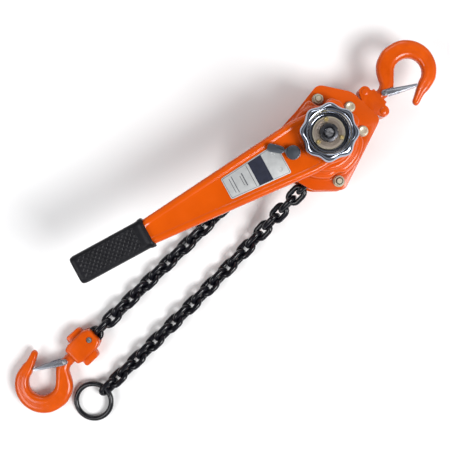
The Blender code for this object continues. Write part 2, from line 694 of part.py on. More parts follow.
def thinned(rings):
    """The lever's depth falls to four fifths of itself between the name plate and the grip."""
    result = []
    for ring in rings:
        moved = []
        for x, y, z in ring:
            t = min(max((x - 125.0) / 80.0, 0.0), 1.0)
            depth = 1.0 - 0.22 * t * t * (3.0 - 2.0 * t)
            moved.append((x, y, LEVER_MID_Z + (z - LEVER_MID_Z) * depth))
        result.append(moved)
    return result


def lever_shell(name, split_z, face_z, hole_radius, axis):
    """One pressed half of the lever: its rim, its face, and the inside of both."""
    up = 1.0 if face_z > split_z else -1.0
    sheet = LEVER_SHEET
    outer, shoulder = lever_outline(), lever_outline(2.5)
    hole = bore_matching(outer, hole_radius)

    def between(part):
        return [(a[0] + (b[0] - a[0]) * part, a[1] + (b[1] - a[1]) * part) for a, b in zip(hole, shoulder)]

    back_z = face_z - up * sheet
    rings = [at_height(outer, split_z), at_height(outer, face_z - up * 2.5), at_height(shoulder, face_z)]
    rings += [at_height(between(part), face_z) for part in (0.66, 0.33)] + [at_height(hole, face_z)]
    rings += [at_height(hole, back_z)] + [at_height(between(part), back_z) for part in (0.33, 0.66)]
    rings += [at_height(lever_outline(4.5), back_z), at_height(lever_outline(sheet), back_z - up * 2.5),
              at_height(lever_outline(sheet), split_z)]
    shell = solid(name, thinned(rings), "orange_paint", axis, closed=True)
    drill = stack([(4.1, back_z - up * 5.0), (4.1, face_z + up * 5.0)], 12, (SELECTOR_AT, 0.0))
    cut(shell, cutter(f"{name}_drill", drill, axis))


def grip_ring(s, half_width, half_depth, corner=5.0):
    box = [(half_width, -half_depth, corner), (half_width, half_depth, corner),
           (-half_width, half_depth, corner), (-half_width, -half_depth, corner)]
    return [(s, y, LEVER_MID_Z + z) for y, z in rounded(box, 2)]


def lever_group(root):
    axis = pivot("lever_axis", (0.0, 0.0, 0.0), LEVER_ANGLE, root)
    lever_shell("lever_front_shell", LEVER_SPLIT_Z + GAP / 2, LEVER_Z[1], 14.6, axis)
    lever_shell("lever_back_shell", LEVER_SPLIT_Z - GAP / 2, LEVER_Z[0], 22.3, axis)
    wide = GRIP_HALF_WIDTH
    outer = [grip_ring(LEVER_LENGTH, wide - 2.5, 10.6), grip_ring(LEVER_LENGTH - 2.0, wide, 12.7),
             grip_ring(GRIP_START + 7.0, wide, 12.7), grip_ring(GRIP_START + 4.0, wide + 1.4, 13.6),
             grip_ring(GRIP_START + GAP, wide + 1.4, 13.6)]
    inner = [grip_ring(GRIP_START + GAP, 12.4, 10.6, 1.5), grip_ring(288.0, 12.4, 10.6, 1.5)]
    solid("lever_grip", outer + inner, "black_rubber", axis)
    near, far, near_half, far_half = NAME_PLATE
    sheet = rounded([(far, -far_half, 2), (far, far_half, 2), (near, near_half, 2), (near, -near_half, 2)], 2)
    z = LEVER_Z[1]
    solid("name_plate", prism(sheet, (z + GAP, z + 0.8)), "plate_aluminium", axis)
    selector_group(axis)


def selector_group(lever_axis):
    """The up-neutral-down selector: a tab outside, and a two-nosed pawl on the same shaft inside."""
    axis = pivot("selector_axis", (SELECTOR_AT, 0.0, 0.0), SELECTOR_ANGLE, lever_axis)
    solid("selector_shaft", stack([(3.8, 99.5), (3.8, 134.2)], 12), "steel", axis)
    outline = [polar(7.5, math.radians(35.0 + 290.0 * k / 10)) for k in range(11)]
    outline += [(13.0, -4.2), (25.0, -4.6), (27.0, -3.0), (27.0, 3.0), (25.0, 4.6), (13.0, 4.2)]
    bore = bore_matching(outline, 4.1)
    low, high = LEVER_Z[1] + 1.2, 133.0
    rings = [at_height(outline, low), at_height(outline, high), at_height(bore, high), at_height(bore, low)]
    solid("selector_lever", rings, "steel", axis, closed=True)
    pawl = [polar(6.5, math.radians(turn)) for turn in (-90, -50, -15, 15, 50, 90)]
    for side in (155.0, 205.0):
        pawl += [polar(9.0, math.radians(side - 19.0)), polar(16.3, math.radians(side - 5.0)),
                 polar(16.3, math.radians(side + 5.0)), polar(9.0, math.radians(side + 19.0))]
    bore = bore_matching(pawl, 4.1)
    rings = [at_height(pawl, 106.0), at_height(pawl, 120.0), at_height(bore, 120.0), at_height(bore, 106.0)]
    solid("changeover_pawl", rings, "steel", axis, closed=True)


# Hooks

def hook_stations():
    """Inner edge, outer edge and half thickness along the hook, from the collar to the tip."""
    stations = [(9.0, -57.5, -9.0, -57.5, 9.0), (9.0, -53.0, -9.0, -53.0, 9.0),
                (6.5, -53.0, -6.5, -53.0, 6.5), (6.5, -36.0, -6.5, -36.0, 6.5),
                (6.8, -30.0, -9.5, -31.5, 7.0), (5.5, -25.0, -15.5, -28.5, 7.2),
                (0.5, -19.2, -22.0, -24.5, 7.4), (-6.0, -13.0, -28.0, -18.5, 7.5),
                (-11.0, -7.0, -32.0, -10.0, 7.5), (-12.5, 0.0, -33.8, 0.0, 7.5)]
    for turn in (150, 120, 90, 60, 32):
        u, v = polar(15.5, math.radians(turn))
        stations.append((3.0 + u, v, *polar(33.8, math.radians(turn)), 7.5))
    stations += [(18.4, 2.2, 32.8, 4.0, 7.2), (21.6, -4.0, 33.2, -3.5, 6.7), (24.4, -9.0, 34.6, -9.4, 6.0),
                 (27.2, -14.2, 36.4, -14.6, 5.2), (29.0, -17.6, 36.6, -17.8, 4.4), (31.0, -19.6, 35.2, -19.6, 2.6)]
    return stations


def hook_mesh():
    rings = []
    for inner_u, inner_v, outer_u, outer_v, half in hook_stations():
        middle = Vector(((inner_u + outer_u) / 2, (inner_v + outer_v) / 2, 0.0))
        edge = Vector(((outer_u - inner_u) / 2, (outer_v - inner_v) / 2, 0.0))
        ring = []
        for k in range(10):
            c, s = polar(1.0, math.tau * k / 10)
            ring.append(middle + edge * c + Vector((0.0, 0.0, half * s)))
        rings.append(ring)
    return skin(rings)


def hook_group(place_name, at, z, parent):
    """A swivel hook with its sprung latch and latch pin; at is the bowl's middle in the parent's frame."""
    axis = pivot(f"{place_name}_hook_axis", (*at, z), parent=parent)
    hook = place(f"{place_name}_hook", hook_mesh(), "orange_paint", axis)
    pin_way = cutter(f"{place_name}_latch_way", stack([(1.8, -14.0), (1.8, 14.0)], 12, LATCH_PIVOT), axis)
    cut(hook, pin_way)
    along = Vector(LATCH_END) - Vector(LATCH_PIVOT)
    turn = math.atan2(along.y, along.x)
    latch_axis = pivot(f"{place_name}_latch_axis", (*LATCH_PIVOT, 0.0), turn, axis)
    inner, outer = LATCH_CHEEK_Z
    outline = [(3.4, -3.6), (16.0, -3.2), (36.8, -1.6), (36.8, 1.2), (26.0, 2.0), (10.0, 3.2)]
    outline += [polar(3.6, math.radians(turn)) for turn in (90, 130, 170, 205, 240)]
    latch = solid(f"{place_name}_latch", prism(outline, (-outer, outer)), "chrome", latch_axis)
    inside = [(-8.0, -8.0), (18.0, -8.0), (18.0, -2.0), (39.0, -0.6), (39.0, 8.0), (-8.0, 8.0)]
    cut(latch, cutter(f"{place_name}_latch_inside", prism(inside, (-inner, inner)), latch_axis), pin_way)
    solid(f"{place_name}_latch_pin", stack([(1.5, -9.8), (1.5, 9.8)], 12), "steel", latch_axis)


def shank_way(name, start, end, parent, z):
    """The space for a hook's collar and shank, along the parent's +Y."""
    rings = []
    for radius, y in ((9.4, start), (9.4, start + 5.7), (6.9, start + 5.7), (6.9, end)):
        rings.append([(x, y, z + up) for x, up in circle(radius, 20)])
    return cutter(name, rings, parent)


def top_group(root):
    """The top yoke on its pin: two cast halves around the hook's shank."""
    axis = pivot("top_yoke_axis", (*TOP_PIN, 0.0), parent=root)
    right = [polar(8.5, math.radians(turn)) for turn in (-90, -60, -30, 0)] + [(9.2, 6.0), (12.5, 14.5)]
    right += [(14.6 + x, 22.0 + y) for x, y in (polar(6.5, math.radians(t)) for t in (-65, -30, 5, 40, 75))]
    right += [(12.6, 29.0), (11.5, 31.5)]
    outline = right + [(-x, y) for x, y in reversed(right[1:])]
    way = shank_way("top_shank_way", 15.6, 34.0, axis, CHAIN_Z)
    eye = cutter("top_eye_drill", stack([(TOP_PIN_RADIUS + GAP, 30.0), (TOP_PIN_RADIUS + GAP, 70.0)]), axis)
    narrow = [(x * 0.86, 17.0 + (y - 17.0) * 0.9) for x, y in outline]
    for name, near, far in (("front", CHAIN_Z + 0.15, 62.0), ("back", CHAIN_Z - 0.15, 38.0)):
        shoulder = far - math.copysign(3.0, far - near)
        rings = [at_height(outline, near), at_height(outline, shoulder), at_height(narrow, far)]
        half = solid(f"top_yoke_{name}", rings, "orange_paint", axis)
        cut(half, way, eye)
    hook_group("top", (TOP_HOOK_AT[0] - TOP_PIN[0], TOP_HOOK_AT[1] - TOP_PIN[1]), CHAIN_Z, axis)


def bottom_group(root):
    """The bottom block on the load chain's last link, with its pin and hook."""
    axis = pivot("bottom_block_axis", (*CHAIN_PIN, 0.0), math.pi, root)
    right = [(9.0, -8.0), (13.0, -4.0), (13.0, 0.0), (20.5, 1.5), (20.5, 19.5), (13.0, 20.8), (13.0, 22.0),
             (10.5, 29.0)]
    eared = right + [(-x, y) for x, y in reversed(right)]
    body = [(max(-13.0, min(13.0, x)), y) for x, y in eared]
    crown = [(x * 0.72, 14.0 + (y - 14.0) * 0.86) for x, y in body]
    way = shank_way("bottom_shank_way", 16.4, 32.0, axis, BLOCK_Z)
    pin_way = cutter("chain_pin_drill", stack([(3.5, -2.0), (3.5, 28.0)], 16), axis)
    fan = [(17.0, -10.0), (12.0, 0.0)] + [polar(10.6, math.radians(t)) for t in (20, 55, 90, 125, 160)]
    fan += [(-12.0, 0.0), (-17.0, -10.0)]
    link_way = cutter("end_link_way", prism(fan, (BLOCK_Z - 3.2, BLOCK_Z + 3.2)), axis)
    for name, up in (("front", 1.0), ("back", -1.0)):
        heights = (0.15, 4.0, 4.0, 9.5, 13.0)
        outlines = (eared, eared, body, body, crown)
        rings = [at_height(ring, BLOCK_Z + up * height) for ring, height in zip(outlines, heights)]
        half = solid(f"bottom_block_{name}", rings, "orange_paint", axis)
        cut(half, way, pin_way, link_way)
    solid("chain_pin", stack([(CHAIN_PIN_RADIUS, 1.0), (CHAIN_PIN_RADIUS, 25.2)], 16), "steel", axis)
    hook_group("bottom", (0.0, CHAIN_PIN[1] - BOTTOM_HOOK_AT[1]), BLOCK_Z, axis)


ROOT = frame_group()
chain_group(ROOT)
ring_group(ROOT)
sheave_group(ROOT)
for idler in (0, 1):
    idler_group(idler, ROOT)
drive_group(ROOT)
ratchet_group(ROOT)
for pawl_number in (0, 1):
    pawl_group(pawl_number, ROOT)
lever_group(ROOT)
top_group(ROOT)
bottom_group(ROOT)
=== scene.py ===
"""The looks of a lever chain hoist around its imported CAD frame.

Numbers are millimetres in the row frame unless a name says otherwise: +Z is the drive axis, +Y points
to the top hook, and the origin is where the drive axis meets the floor.
"""

import json
import math

import bmesh
import bpy
from mathutils import Matrix, Vector


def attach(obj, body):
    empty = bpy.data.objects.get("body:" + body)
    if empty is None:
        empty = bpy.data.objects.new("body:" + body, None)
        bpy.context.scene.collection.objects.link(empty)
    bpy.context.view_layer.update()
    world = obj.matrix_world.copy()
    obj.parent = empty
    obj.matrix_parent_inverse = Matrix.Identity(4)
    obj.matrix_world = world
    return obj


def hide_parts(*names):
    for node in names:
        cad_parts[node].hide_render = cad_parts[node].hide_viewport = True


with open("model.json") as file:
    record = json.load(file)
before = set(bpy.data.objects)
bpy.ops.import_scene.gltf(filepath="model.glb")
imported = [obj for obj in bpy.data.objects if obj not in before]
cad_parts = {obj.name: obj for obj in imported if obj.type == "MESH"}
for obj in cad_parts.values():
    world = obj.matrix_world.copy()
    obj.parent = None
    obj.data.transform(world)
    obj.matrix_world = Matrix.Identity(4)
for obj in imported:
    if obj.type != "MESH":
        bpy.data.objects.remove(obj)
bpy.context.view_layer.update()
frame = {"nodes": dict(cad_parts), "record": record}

MM, TAU = 0.001, math.tau
X, Y, Z = Vector((1, 0, 0)), Vector((0, 1, 0)), Vector((0, 0, 1))
GAP = 0.3

# Places that match the CAD
LEVER_ANGLE = math.radians(254.4)
TOP_PIN = (10.5, 50.0)
TOP_HOOK_AT = (10.5, 123.7, 50.0)
CHAIN_PIN = (-20.5, -342.5)
BOTTOM_HOOK_AT = (-20.5, -417.0, 13.0)
BLOCK_Z = 13.0
LATCH_PIVOT, LATCH_END = (1.5, -36.0), (19.6, -3.9)
RING_HANG, RING_RADIUS, RING_WIRE, RING_CLEARANCE = (33.9, -371.4, 9.4), 20.6, 6.0, 0.1
NUTTED_STAYS = [(-33.8, 27.0), (45.5, -18.3)]
RIVETED_STAYS = [(-3.7, 46.1), (24.8, 38.2), (0.0, -44.0)]
BODY_CORNERS = [
    (57.0, -20.0, 8.0), (28.5, 62.0, 8.0), (-14.0, 60.0, 20.0), (-46.0, 38.5, 10.0),
    (-41.0, 0.0, 20.0), (-39.0, -34.0, 10.0), (-28.0, -51.0, 9.0), (5.0, -53.5, 15.0), (33.0, -45.5, 14.0)]
LOAD_ROUTE = [
    (-24.4, -20.8, 50.0), (-24.4, -34.0, 49.8), (-24.3, -48.0, 48.0), (-24.0, -62.0, 43.6),
    (-23.6, -76.0, 37.0), (-23.2, -90.0, 29.4), (-22.7, -104.0, 22.2), (-22.2, -118.0, 16.3),
    (-21.8, -132.0, 12.6), (-21.4, -146.0, 10.2), (-21.1, -162.0, 9.5), (-20.9, -182.0, 9.4),
    (-20.9, -205.0, 9.4), (-21.0, -230.0, 9.4), (-21.1, -255.0, 9.4), (-21.1, -278.0, 9.5),
    (-20.8, -295.0, 10.0), (-20.6, -310.0, 11.8), (-20.5, -325.4, 12.9)]
SLACK_ROUTE = [
    (24.4, -20.8, 50.0), (24.4, -34.0, 49.8), (24.6, -48.0, 48.0), (25.1, -62.0, 43.6),
    (25.9, -76.0, 37.0), (26.8, -90.0, 29.4), (27.8, -104.0, 22.2), (28.8, -118.0, 16.3),
    (29.7, -132.0, 12.6), (30.5, -146.0, 10.2), (31.2, -162.0, 9.5), (31.8, -182.0, 9.4),
    (32.4, -205.0, 9.4), (32.9, -230.0, 9.4), (33.3, -255.0, 9.4), (33.6, -280.0, 9.4),
    (33.8, -305.0, 9.4), (33.9, -330.0, 9.4), (33.9, -354.2, 9.4)]
LOAD_END = (-20.5, -338.5, 13.0)
SLACK_END = (33.9, -367.2, 9.4)
SHEAVE_PCR, SHEAVE_LINKS, CHAIN_Z = 24.4, 6, 50.0
CHAIN_PITCH, CHAIN_WIRE, CHAIN_WIDTH = 15.0, 6.2, 18.8
CHAIN_LEAN = math.radians(35)
LOAD_STEPS, SLACK_STEPS = 23, 25
LEAN_STEPS, SLACK_LEAN_STEPS, LEVEL_STEPS = 5, 9, 3
LINKS_HIDDEN = 2

WORLD = Matrix.Identity(4)
LEVER = Matrix.Rotation(LEVER_ANGLE, 4, "Z")
TOP_HOOK = Matrix.Translation(TOP_HOOK_AT)
BOTTOM_HOOK = Matrix.Translation(BOTTOM_HOOK_AT) @ Matrix.Rotation(math.pi, 4, "Z")
TOP_YOKE = Matrix.Translation((*TOP_PIN, 0.0))
BLOCK = Matrix.Translation((*CHAIN_PIN, 0.0)) @ Matrix.Rotation(math.pi, 4, "Z")


# Camera, light and floor

# Height of the direction and its tone: the ramp's two ends first, then the stops between them
WORLD_TONES = [
    (0.0, (0.8, 0.8, 0.81)), (1.0, (0.1, 0.1, 0.105)), (0.06, (0.7, 0.7, 0.71)), (0.1, (0.06, 0.06, 0.065)),
    (0.3, (0.12, 0.125, 0.14)), (0.55, (0.86, 0.87, 0.9)), (0.8, (0.82, 0.82, 0.84)),
    (0.93, (0.14, 0.14, 0.15))]
WORLD_STRENGTH = 0.48
CAMERA_AT, CAMERA_TURN, LENS, SENSOR = (-0.0064, -0.1399, 1.0), math.radians(45.8), 68.4, 36.0
LIGHTS_AIM = (0.0, -0.12, 0.0)
FLOOR_HALF = 12.0


def in_scene(name, data):
    """A new object in the scene."""
    made = bpy.data.objects.new(name, data)
    bpy.context.scene.collection.objects.link(made)
    return made


def camera():
    """A camera straight above the hoist, a metre up, turned to the photograph's slant. In metres."""
    data = bpy.data.cameras.new("camera")
    data.lens, data.sensor_width = LENS, SENSOR
    made = in_scene("camera", data)
    made.location = CAMERA_AT
    made.rotation_euler = (0.0, 0.0, CAMERA_TURN)
    bpy.context.scene.camera = made


def area_light(name, at, size, watts):
    """A rectangular light that faces the middle of the hoist. In metres."""
    data = bpy.data.lights.new(name, "AREA")
    data.shape = "RECTANGLE"
    data.size, data.size_y = size
    data.energy = watts
    made = in_scene(name, data)
    made.location = at
    made.rotation_euler = (Vector(LIGHTS_AIM) - Vector(at)).to_track_quat("-Z", "Y").to_euler()


def studio():
    """A pale floor, a dim world with a brighter sky, and three soft lights."""
    camera()
    area_light("key", (1.5, 0.3, 2.2), (1.1, 1.1), 64.0)
    area_light("front", (-0.4, -1.9, 2.2), (1.6, 0.9), 26.0)
    area_light("rim", (-1.7, 1.3, 1.7), (1.6, 0.6), 13.0)

    world = bpy.data.worlds.new("studio")
    world.use_nodes = True
    nodes, links = world.node_tree.nodes, world.node_tree.links
    coords = nodes.new("ShaderNodeTexCoord")
    split = nodes.new("ShaderNodeSeparateXYZ")
    ramp = nodes.new("ShaderNodeValToRGB")
    for element, (place, tone) in zip(ramp.color_ramp.elements, WORLD_TONES):
        element.position, element.color = place, (*tone, 1.0)
    for place, tone in WORLD_TONES[2:]:
        ramp.color_ramp.elements.new(place).color = (*tone, 1.0)
    links.new(coords.outputs["Generated"], split.inputs[0])
    links.new(split.outputs["Z"], ramp.inputs["Fac"])
    links.new(ramp.outputs["Color"], nodes["Background"].inputs["Color"])
    nodes["Background"].inputs["Strength"].default_value = WORLD_STRENGTH
    bpy.context.scene.world = world
    bpy.context.scene.view_settings.view_transform = "Standard"

    floor_mesh = bpy.data.meshes.new("floor")
    corners = [(x * FLOOR_HALF, y * FLOOR_HALF, 0) for x, y in ((-1, -1), (1, -1), (1, 1), (-1, 1))]
    floor_mesh.from_pydata(corners, [], [(0, 1, 2, 3)])
    surface = bpy.data.materials.new("floor")
    surface.use_nodes = True
    shader = surface.node_tree.nodes["Principled BSDF"]
    shader.inputs["Base Color"].default_value = (0.92, 0.92, 0.92, 1.0)
    shader.inputs["Roughness"].default_value = 0.9
    floor_mesh.materials.append(surface)
    floor = in_scene("floor", floor_mesh)


# Materials

BUMP_DEPTH, COAT_ROUGHNESS = 0.0005, 0.12
# Ramp ends; the second is the largest share of painted shade that hollows take
NONE, MOST_PAINTED_SHADE, MOST_WEAR, FULL = (0.0,) * 3, (0.6,) * 3, (0.8,) * 3, (1.0,) * 3


def finish(name, dark, light, rough, metal=0.0, patch=45.0, grain=900.0, bump=0.05, coat=0.0,
           gloss=0.5, worn=None, painted_shade=None):
    """A procedural finish: colour drifts between two tones, roughness and bump follow finer noise, edges
    show the worn colour, and hollows take a darker colour as painted shade. patch and grain are noise scales,
    in object space."""
    made = bpy.data.materials.new(name)
    made.use_nodes = True
    nodes, links = made.node_tree.nodes, made.node_tree.links
    shader = nodes["Principled BSDF"]
    shader.inputs["Metallic"].default_value = metal
    shader.inputs["Coat Weight"].default_value = coat
    shader.inputs["Coat Roughness"].default_value = COAT_ROUGHNESS
    shader.inputs["Specular IOR Level"].default_value = gloss
    coords = nodes.new("ShaderNodeTexCoord")

    def noise(scale, detail):
        node = nodes.new("ShaderNodeTexNoise")
        node.inputs["Scale"].default_value = scale
        node.inputs["Detail"].default_value = detail
        links.new(coords.outputs["Object"], node.inputs["Vector"])
        return node.outputs["Fac"]

    def ramp(source, low, high, first, last):
        node = nodes.new("ShaderNodeValToRGB")
        for element, place, tone in zip(node.color_ramp.elements, (low, high), (first, last)):
            element.position, element.color = place, (*tone, 1.0)
        links.new(source, node.inputs["Fac"])
        return node.outputs["Color"]

    def mix(factor, first, colour):
        node = nodes.new("ShaderNodeMix")
        node.data_type = "RGBA"
        links.new(factor, node.inputs["Factor"])
        links.new(first, node.inputs["A"])
        node.inputs["B"].default_value = (*colour, 1.0)
        return node.outputs["Result"]

    colour = ramp(noise(patch, 4.0), 0.3, 0.7, dark, light)
    if worn or painted_shade:
        shape = nodes.new("ShaderNodeNewGeometry").outputs["Pointiness"]
        scuff = noise(patch * 6.0, 6.0)
        if worn:
            edge = ramp(shape, 0.56, 0.66, NONE, MOST_WEAR)
            gate = nodes.new("ShaderNodeMath")
            gate.operation = "MULTIPLY"
            links.new(edge, gate.inputs[0])
            links.new(ramp(scuff, 0.5, 0.62, NONE, FULL), gate.inputs[1])
            colour = mix(gate.outputs[0], colour, worn)
        # Painted shade: hollows darken towards the given darker tone
        if painted_shade:
            colour = mix(ramp(shape, 0.38, 0.47, MOST_PAINTED_SHADE, NONE), colour, painted_shade)
    links.new(colour, shader.inputs["Base Color"])
    spread = nodes.new("ShaderNodeMapRange")
    links.new(noise(patch * 3.0, 5.0), spread.inputs["Value"])
    spread.inputs["From Min"].default_value, spread.inputs["From Max"].default_value = 0.3, 0.7
    spread.inputs["To Min"].default_value, spread.inputs["To Max"].default_value = rough
    links.new(spread.outputs["Result"], shader.inputs["Roughness"])
    height = nodes.new("ShaderNodeBump")
    height.inputs["Strength"].default_value = bump
    height.inputs["Distance"].default_value = BUMP_DEPTH
    links.new(noise(grain, 3.0), height.inputs["Height"])
    links.new(height.outputs["Normal"], shader.inputs["Normal"])
    return made


# The darker orange given for hollows on both paints is painted shade
PAINT = finish("orange_paint", (0.58, 0.073, 0.001), (0.68, 0.092, 0.002), (0.14, 0.22), patch=25.0,
               grain=350.0, bump=0.03, coat=0.15, gloss=0.3, painted_shade=(0.26, 0.02, 0.002))
CAST_PAINT = finish("orange_cast_paint", (0.57, 0.07, 0.001), (0.69, 0.092, 0.002), (0.16, 0.26), patch=70.0,
                    grain=420.0, bump=0.25, coat=0.15, gloss=0.3, painted_shade=(0.24, 0.018, 0.002))
# Chrome tones darker and bluer than bare chrome: painted reflection of dark surroundings over the metal's own
# colour
CHROME = finish("chrome", (0.3, 0.33, 0.4), (0.4, 0.43, 0.5), (0.07, 0.12), 1.0, patch=40.0, grain=300.0,
                bump=0.01)
ZINC = finish("zinc", (0.5, 0.47, 0.35), (0.6, 0.57, 0.44), (0.3, 0.4), 0.35, patch=60.0, grain=1500.0,
              bump=0.1)
STEEL = finish("steel", (0.33, 0.33, 0.35), (0.52, 0.52, 0.54), (0.22, 0.42), 1.0, patch=120.0, bump=0.1)
DARK_STEEL = finish("dark_steel", (0.03, 0.03, 0.034), (0.09, 0.09, 0.1), (0.3, 0.45), 0.9, patch=150.0,
                    bump=0.15)
CHAIN = finish("black_chain", (0.002, 0.002, 0.004), (0.007, 0.007, 0.011), (0.12, 0.24), 0.0, patch=160.0,
               grain=1200.0, bump=0.15, coat=0.12, gloss=0.32, worn=(0.12, 0.115, 0.115))
RUBBER = finish("black_rubber", (0.004, 0.004, 0.006), (0.009, 0.009, 0.012), (0.34, 0.5), 0.0, patch=90.0,
                grain=1800.0, bump=0.25, gloss=0.22)
BRONZE = finish("bronze", (0.36, 0.30, 0.25), (0.44, 0.38, 0.32), (0.34, 0.4), 0.8, patch=50.0, grain=1500.0,
                bump=0.03)
GILT = finish("gilt_zinc", (0.54, 0.42, 0.18), (0.7, 0.57, 0.29), (0.25, 0.36), 0.75, patch=150.0, bump=0.1)
# A paler copy of the plate's bronze: painted highlight for the plate's bright outer ring
PLATE_RIM_HIGHLIGHT = finish("bronze_painted_highlight", (0.62, 0.56, 0.42), (0.72, 0.66, 0.52), (0.26, 0.34), 0.7, patch=60.0,
                   bump=0.02)
SELECTOR_STEEL = finish("selector_steel", (0.1, 0.115, 0.14), (0.17, 0.185, 0.215), (0.26, 0.36), 0.8,
                        patch=60.0, bump=0.12, worn=(0.5, 0.5, 0.5))
LATCH_STEEL = finish("latch_steel", (0.36, 0.38, 0.43), (0.44, 0.46, 0.51), (0.26, 0.3), 0.85, patch=20.0,
                     bump=0.01)
LINING = finish("brake_lining", (0.14, 0.08, 0.05), (0.22, 0.14, 0.09), (0.75, 0.95), patch=300.0, bump=0.5)
PLATE = finish("plate_aluminium", (0.44, 0.45, 0.45), (0.54, 0.55, 0.55), (0.34, 0.46), 0.3, patch=150.0,
               grain=2000.0, bump=0.08)
PRINT = finish("grey_ink", (0.07, 0.075, 0.085), (0.11, 0.115, 0.125), (0.4, 0.55), patch=200.0, bump=0.05)
NAVY = finish("navy_ink", (0.005, 0.007, 0.02), (0.009, 0.012, 0.032), (0.35, 0.5), patch=200.0, bump=0.05)

# Finish of each material slot, for the CAD nodes that stay as they are
SLOT_FINISH = {
    "orange_paint": PAINT, "chrome": CHROME, "zinc": ZINC, "steel": STEEL, "gear_steel": DARK_STEEL,
    "black_chain": CHAIN, "black_rubber": RUBBER, "bronze": BRONZE, "brake_lining": LINING,
    "plate_aluminium": PLATE}


# Meshes

BEVEL_SEGMENTS, BEVEL_FROM = 3, math.radians(35)


def polar(radius, angle):
    """The point (x, y) at this radius and angle."""
    return (radius * math.cos(angle), radius * math.sin(angle))


def circle(radius, count=48, centre=(0.0, 0.0)):
    """An outline of evenly spaced points."""
    points = (polar(radius, TAU * i / count) for i in range(count))
    return [(centre[0] + x, centre[1] + y) for x, y in points]


def at_height(outline, z):
    """A ring: the outline at one height."""
    return [(x, y, z) for x, y in outline]


def stack(profile, count=48, centre=(0.0, 0.0)):
    """Rings of a turned piece about Z from (radius, z) pairs."""
    return [at_height(circle(radius, count, centre), z) for radius, z in profile]


def prism(outline, z_range):
    """Rings of a straight extrusion."""
    return [at_height(outline, z) for z in z_range]


def fillet(radius, steps=5, edge=0.0):
    """(inset, rise) pairs of a quarter round from a wall up to a roof at 0; the inset grows inwards."""
    angles = (math.pi / 2 * k / steps for k in range(steps + 1))
    return [(edge + radius * (1 - math.cos(a)), radius * (math.sin(a) - 1)) for a in angles]


def rounded(corners, steps=5):
    """A polygon of (x, y, radius) corners, each an arc of so many steps."""
    points = []
    for i, (x, y, radius) in enumerate(corners):
        here = Vector((x, y))
        before = (Vector(corners[i - 1][:2]) - here).normalized()
        after = (Vector(corners[(i + 1) % len(corners)][:2]) - here).normalized()
        half = before.angle(after) / 2
        centre = here + (before + after).normalized() * (radius / math.sin(half))
        start = here + before * (radius / math.tan(half)) - centre
        end = here + after * (radius / math.tan(half)) - centre
        first = math.atan2(start.y, start.x)
        sweep = math.remainder(math.atan2(end.y, end.x) - first, TAU)
        for k in range(steps + 1):
            dx, dy = polar(radius, first + sweep * k / steps)
            points.append((centre.x + dx, centre.y + dy))
    return points


def bridge(shape, one, two):
    """Quads between two loops of vertices."""
    for i in range(len(one)):
        j = (i + 1) % len(one)
        shape.faces.new((one[i], one[j], two[j], two[i]))


def ring_faces(shape, rings, closed=False):
    """Quads between each ring and the next, and between the last and the first if closed."""
    loops = [[shape.verts.new(point) for point in ring] for ring in rings]
    for one, two in zip(loops, loops[1:]):
        bridge(shape, one, two)
    if closed:
        bridge(shape, loops[-1], loops[0])
    return loops


def skin(rings, closed=False):
    """A bmesh over rings of equal length: capped at both ends, or closed on itself like a tyre."""
    shape = bmesh.new()
    loops = ring_faces(shape, rings, closed)
    if not closed:
        shape.faces.new(loops[0])
        shape.faces.new(loops[-1])
    bmesh.ops.recalc_face_normals(shape, faces=shape.faces)
    return shape


def pot(outer_rings, inner_rings):
    """A bmesh of a thick-walled pot: outside from the lip to its floor, then inside back to the lip."""
    shape = bmesh.new()
    outer = ring_faces(shape, outer_rings)
    inner = ring_faces(shape, inner_rings)
    shape.faces.new(outer[-1])
    shape.faces.new(inner[0])
    bridge(shape, outer[0], inner[-1])
    bmesh.ops.recalc_face_normals(shape, faces=shape.faces)
    return shape


def loose(shape, name, matrix=WORLD):
    """An object from a bmesh in millimetres, placed by a matrix in millimetres."""
    shape.transform(Matrix.Scale(MM, 4) @ matrix)
    mesh = bpy.data.meshes.new(name)
    shape.to_mesh(mesh)
    shape.free()
    return in_scene(name, mesh)


def settle(made, cutters=(), bevel=0.0, solidify=0.0):
    """Applies the sheet thickness, cuts and bevel to a piece's mesh, and removes the cutters."""
    if solidify:
        sheet = made.modifiers.new("sheet", "SOLIDIFY")
        sheet.thickness, sheet.offset, sheet.use_even_offset = solidify * MM, -1.0, True
    for tool in cutters:
        boolean = made.modifiers.new("cut", "BOOLEAN")
        boolean.operation, boolean.solver, boolean.object = "DIFFERENCE", "EXACT", tool
    if bevel:
        edge = made.modifiers.new("edge", "BEVEL")
        edge.width, edge.segments, edge.use_clamp_overlap = bevel * MM, BEVEL_SEGMENTS, True
        edge.limit_method, edge.angle_limit = "ANGLE", BEVEL_FROM
    if made.modifiers:
        graph = bpy.context.evaluated_depsgraph_get()
        mesh = bpy.data.meshes.new_from_object(made.evaluated_get(graph))
        made.modifiers.clear()
        made.data = mesh
    for tool in cutters:
        bpy.data.objects.remove(tool)


def dress(made, surface, body, slot, *nodes, sharp=40.0):
    """Gives a piece its finish, its body and the CAD nodes that it stands for."""
    made.data.materials.clear()
    made.data.materials.append(surface)
    for face in made.data.polygons:
        face.material_index = 0
    made.data.shade_smooth()
    made.data.set_sharp_from_angle(angle=math.radians(sharp))
    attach(made, body)
    if nodes:
        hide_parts(*nodes)
    return made


def piece(name, shape, surface, body, slot, *nodes, matrix=WORLD, cutters=(), bevel=0.0, solidify=0.0,
          sharp=40.0):
    """A visual piece from a bmesh."""
    made = loose(shape, name, matrix)
    settle(made, cutters, bevel, solidify)
    return dress(made, surface, body, slot, *nodes, sharp=sharp)


def tyre(stations, normal, radius, count=12):
    """Rings of round wire along a closed path in a plane with this normal."""
    rings = []
    for i, here in enumerate(stations):
        along = (stations[(i + 1) % len(stations)] - stations[i - 1]).normalized()
        side = along.cross(normal)
        rings.append([here + radius * (math.cos(TAU * k / count) * side + math.sin(TAU * k / count) * normal)
                      for k in range(count)])
    return rings


# Chain

BEND_STEPS = 8
CURVE_STEPS = 12


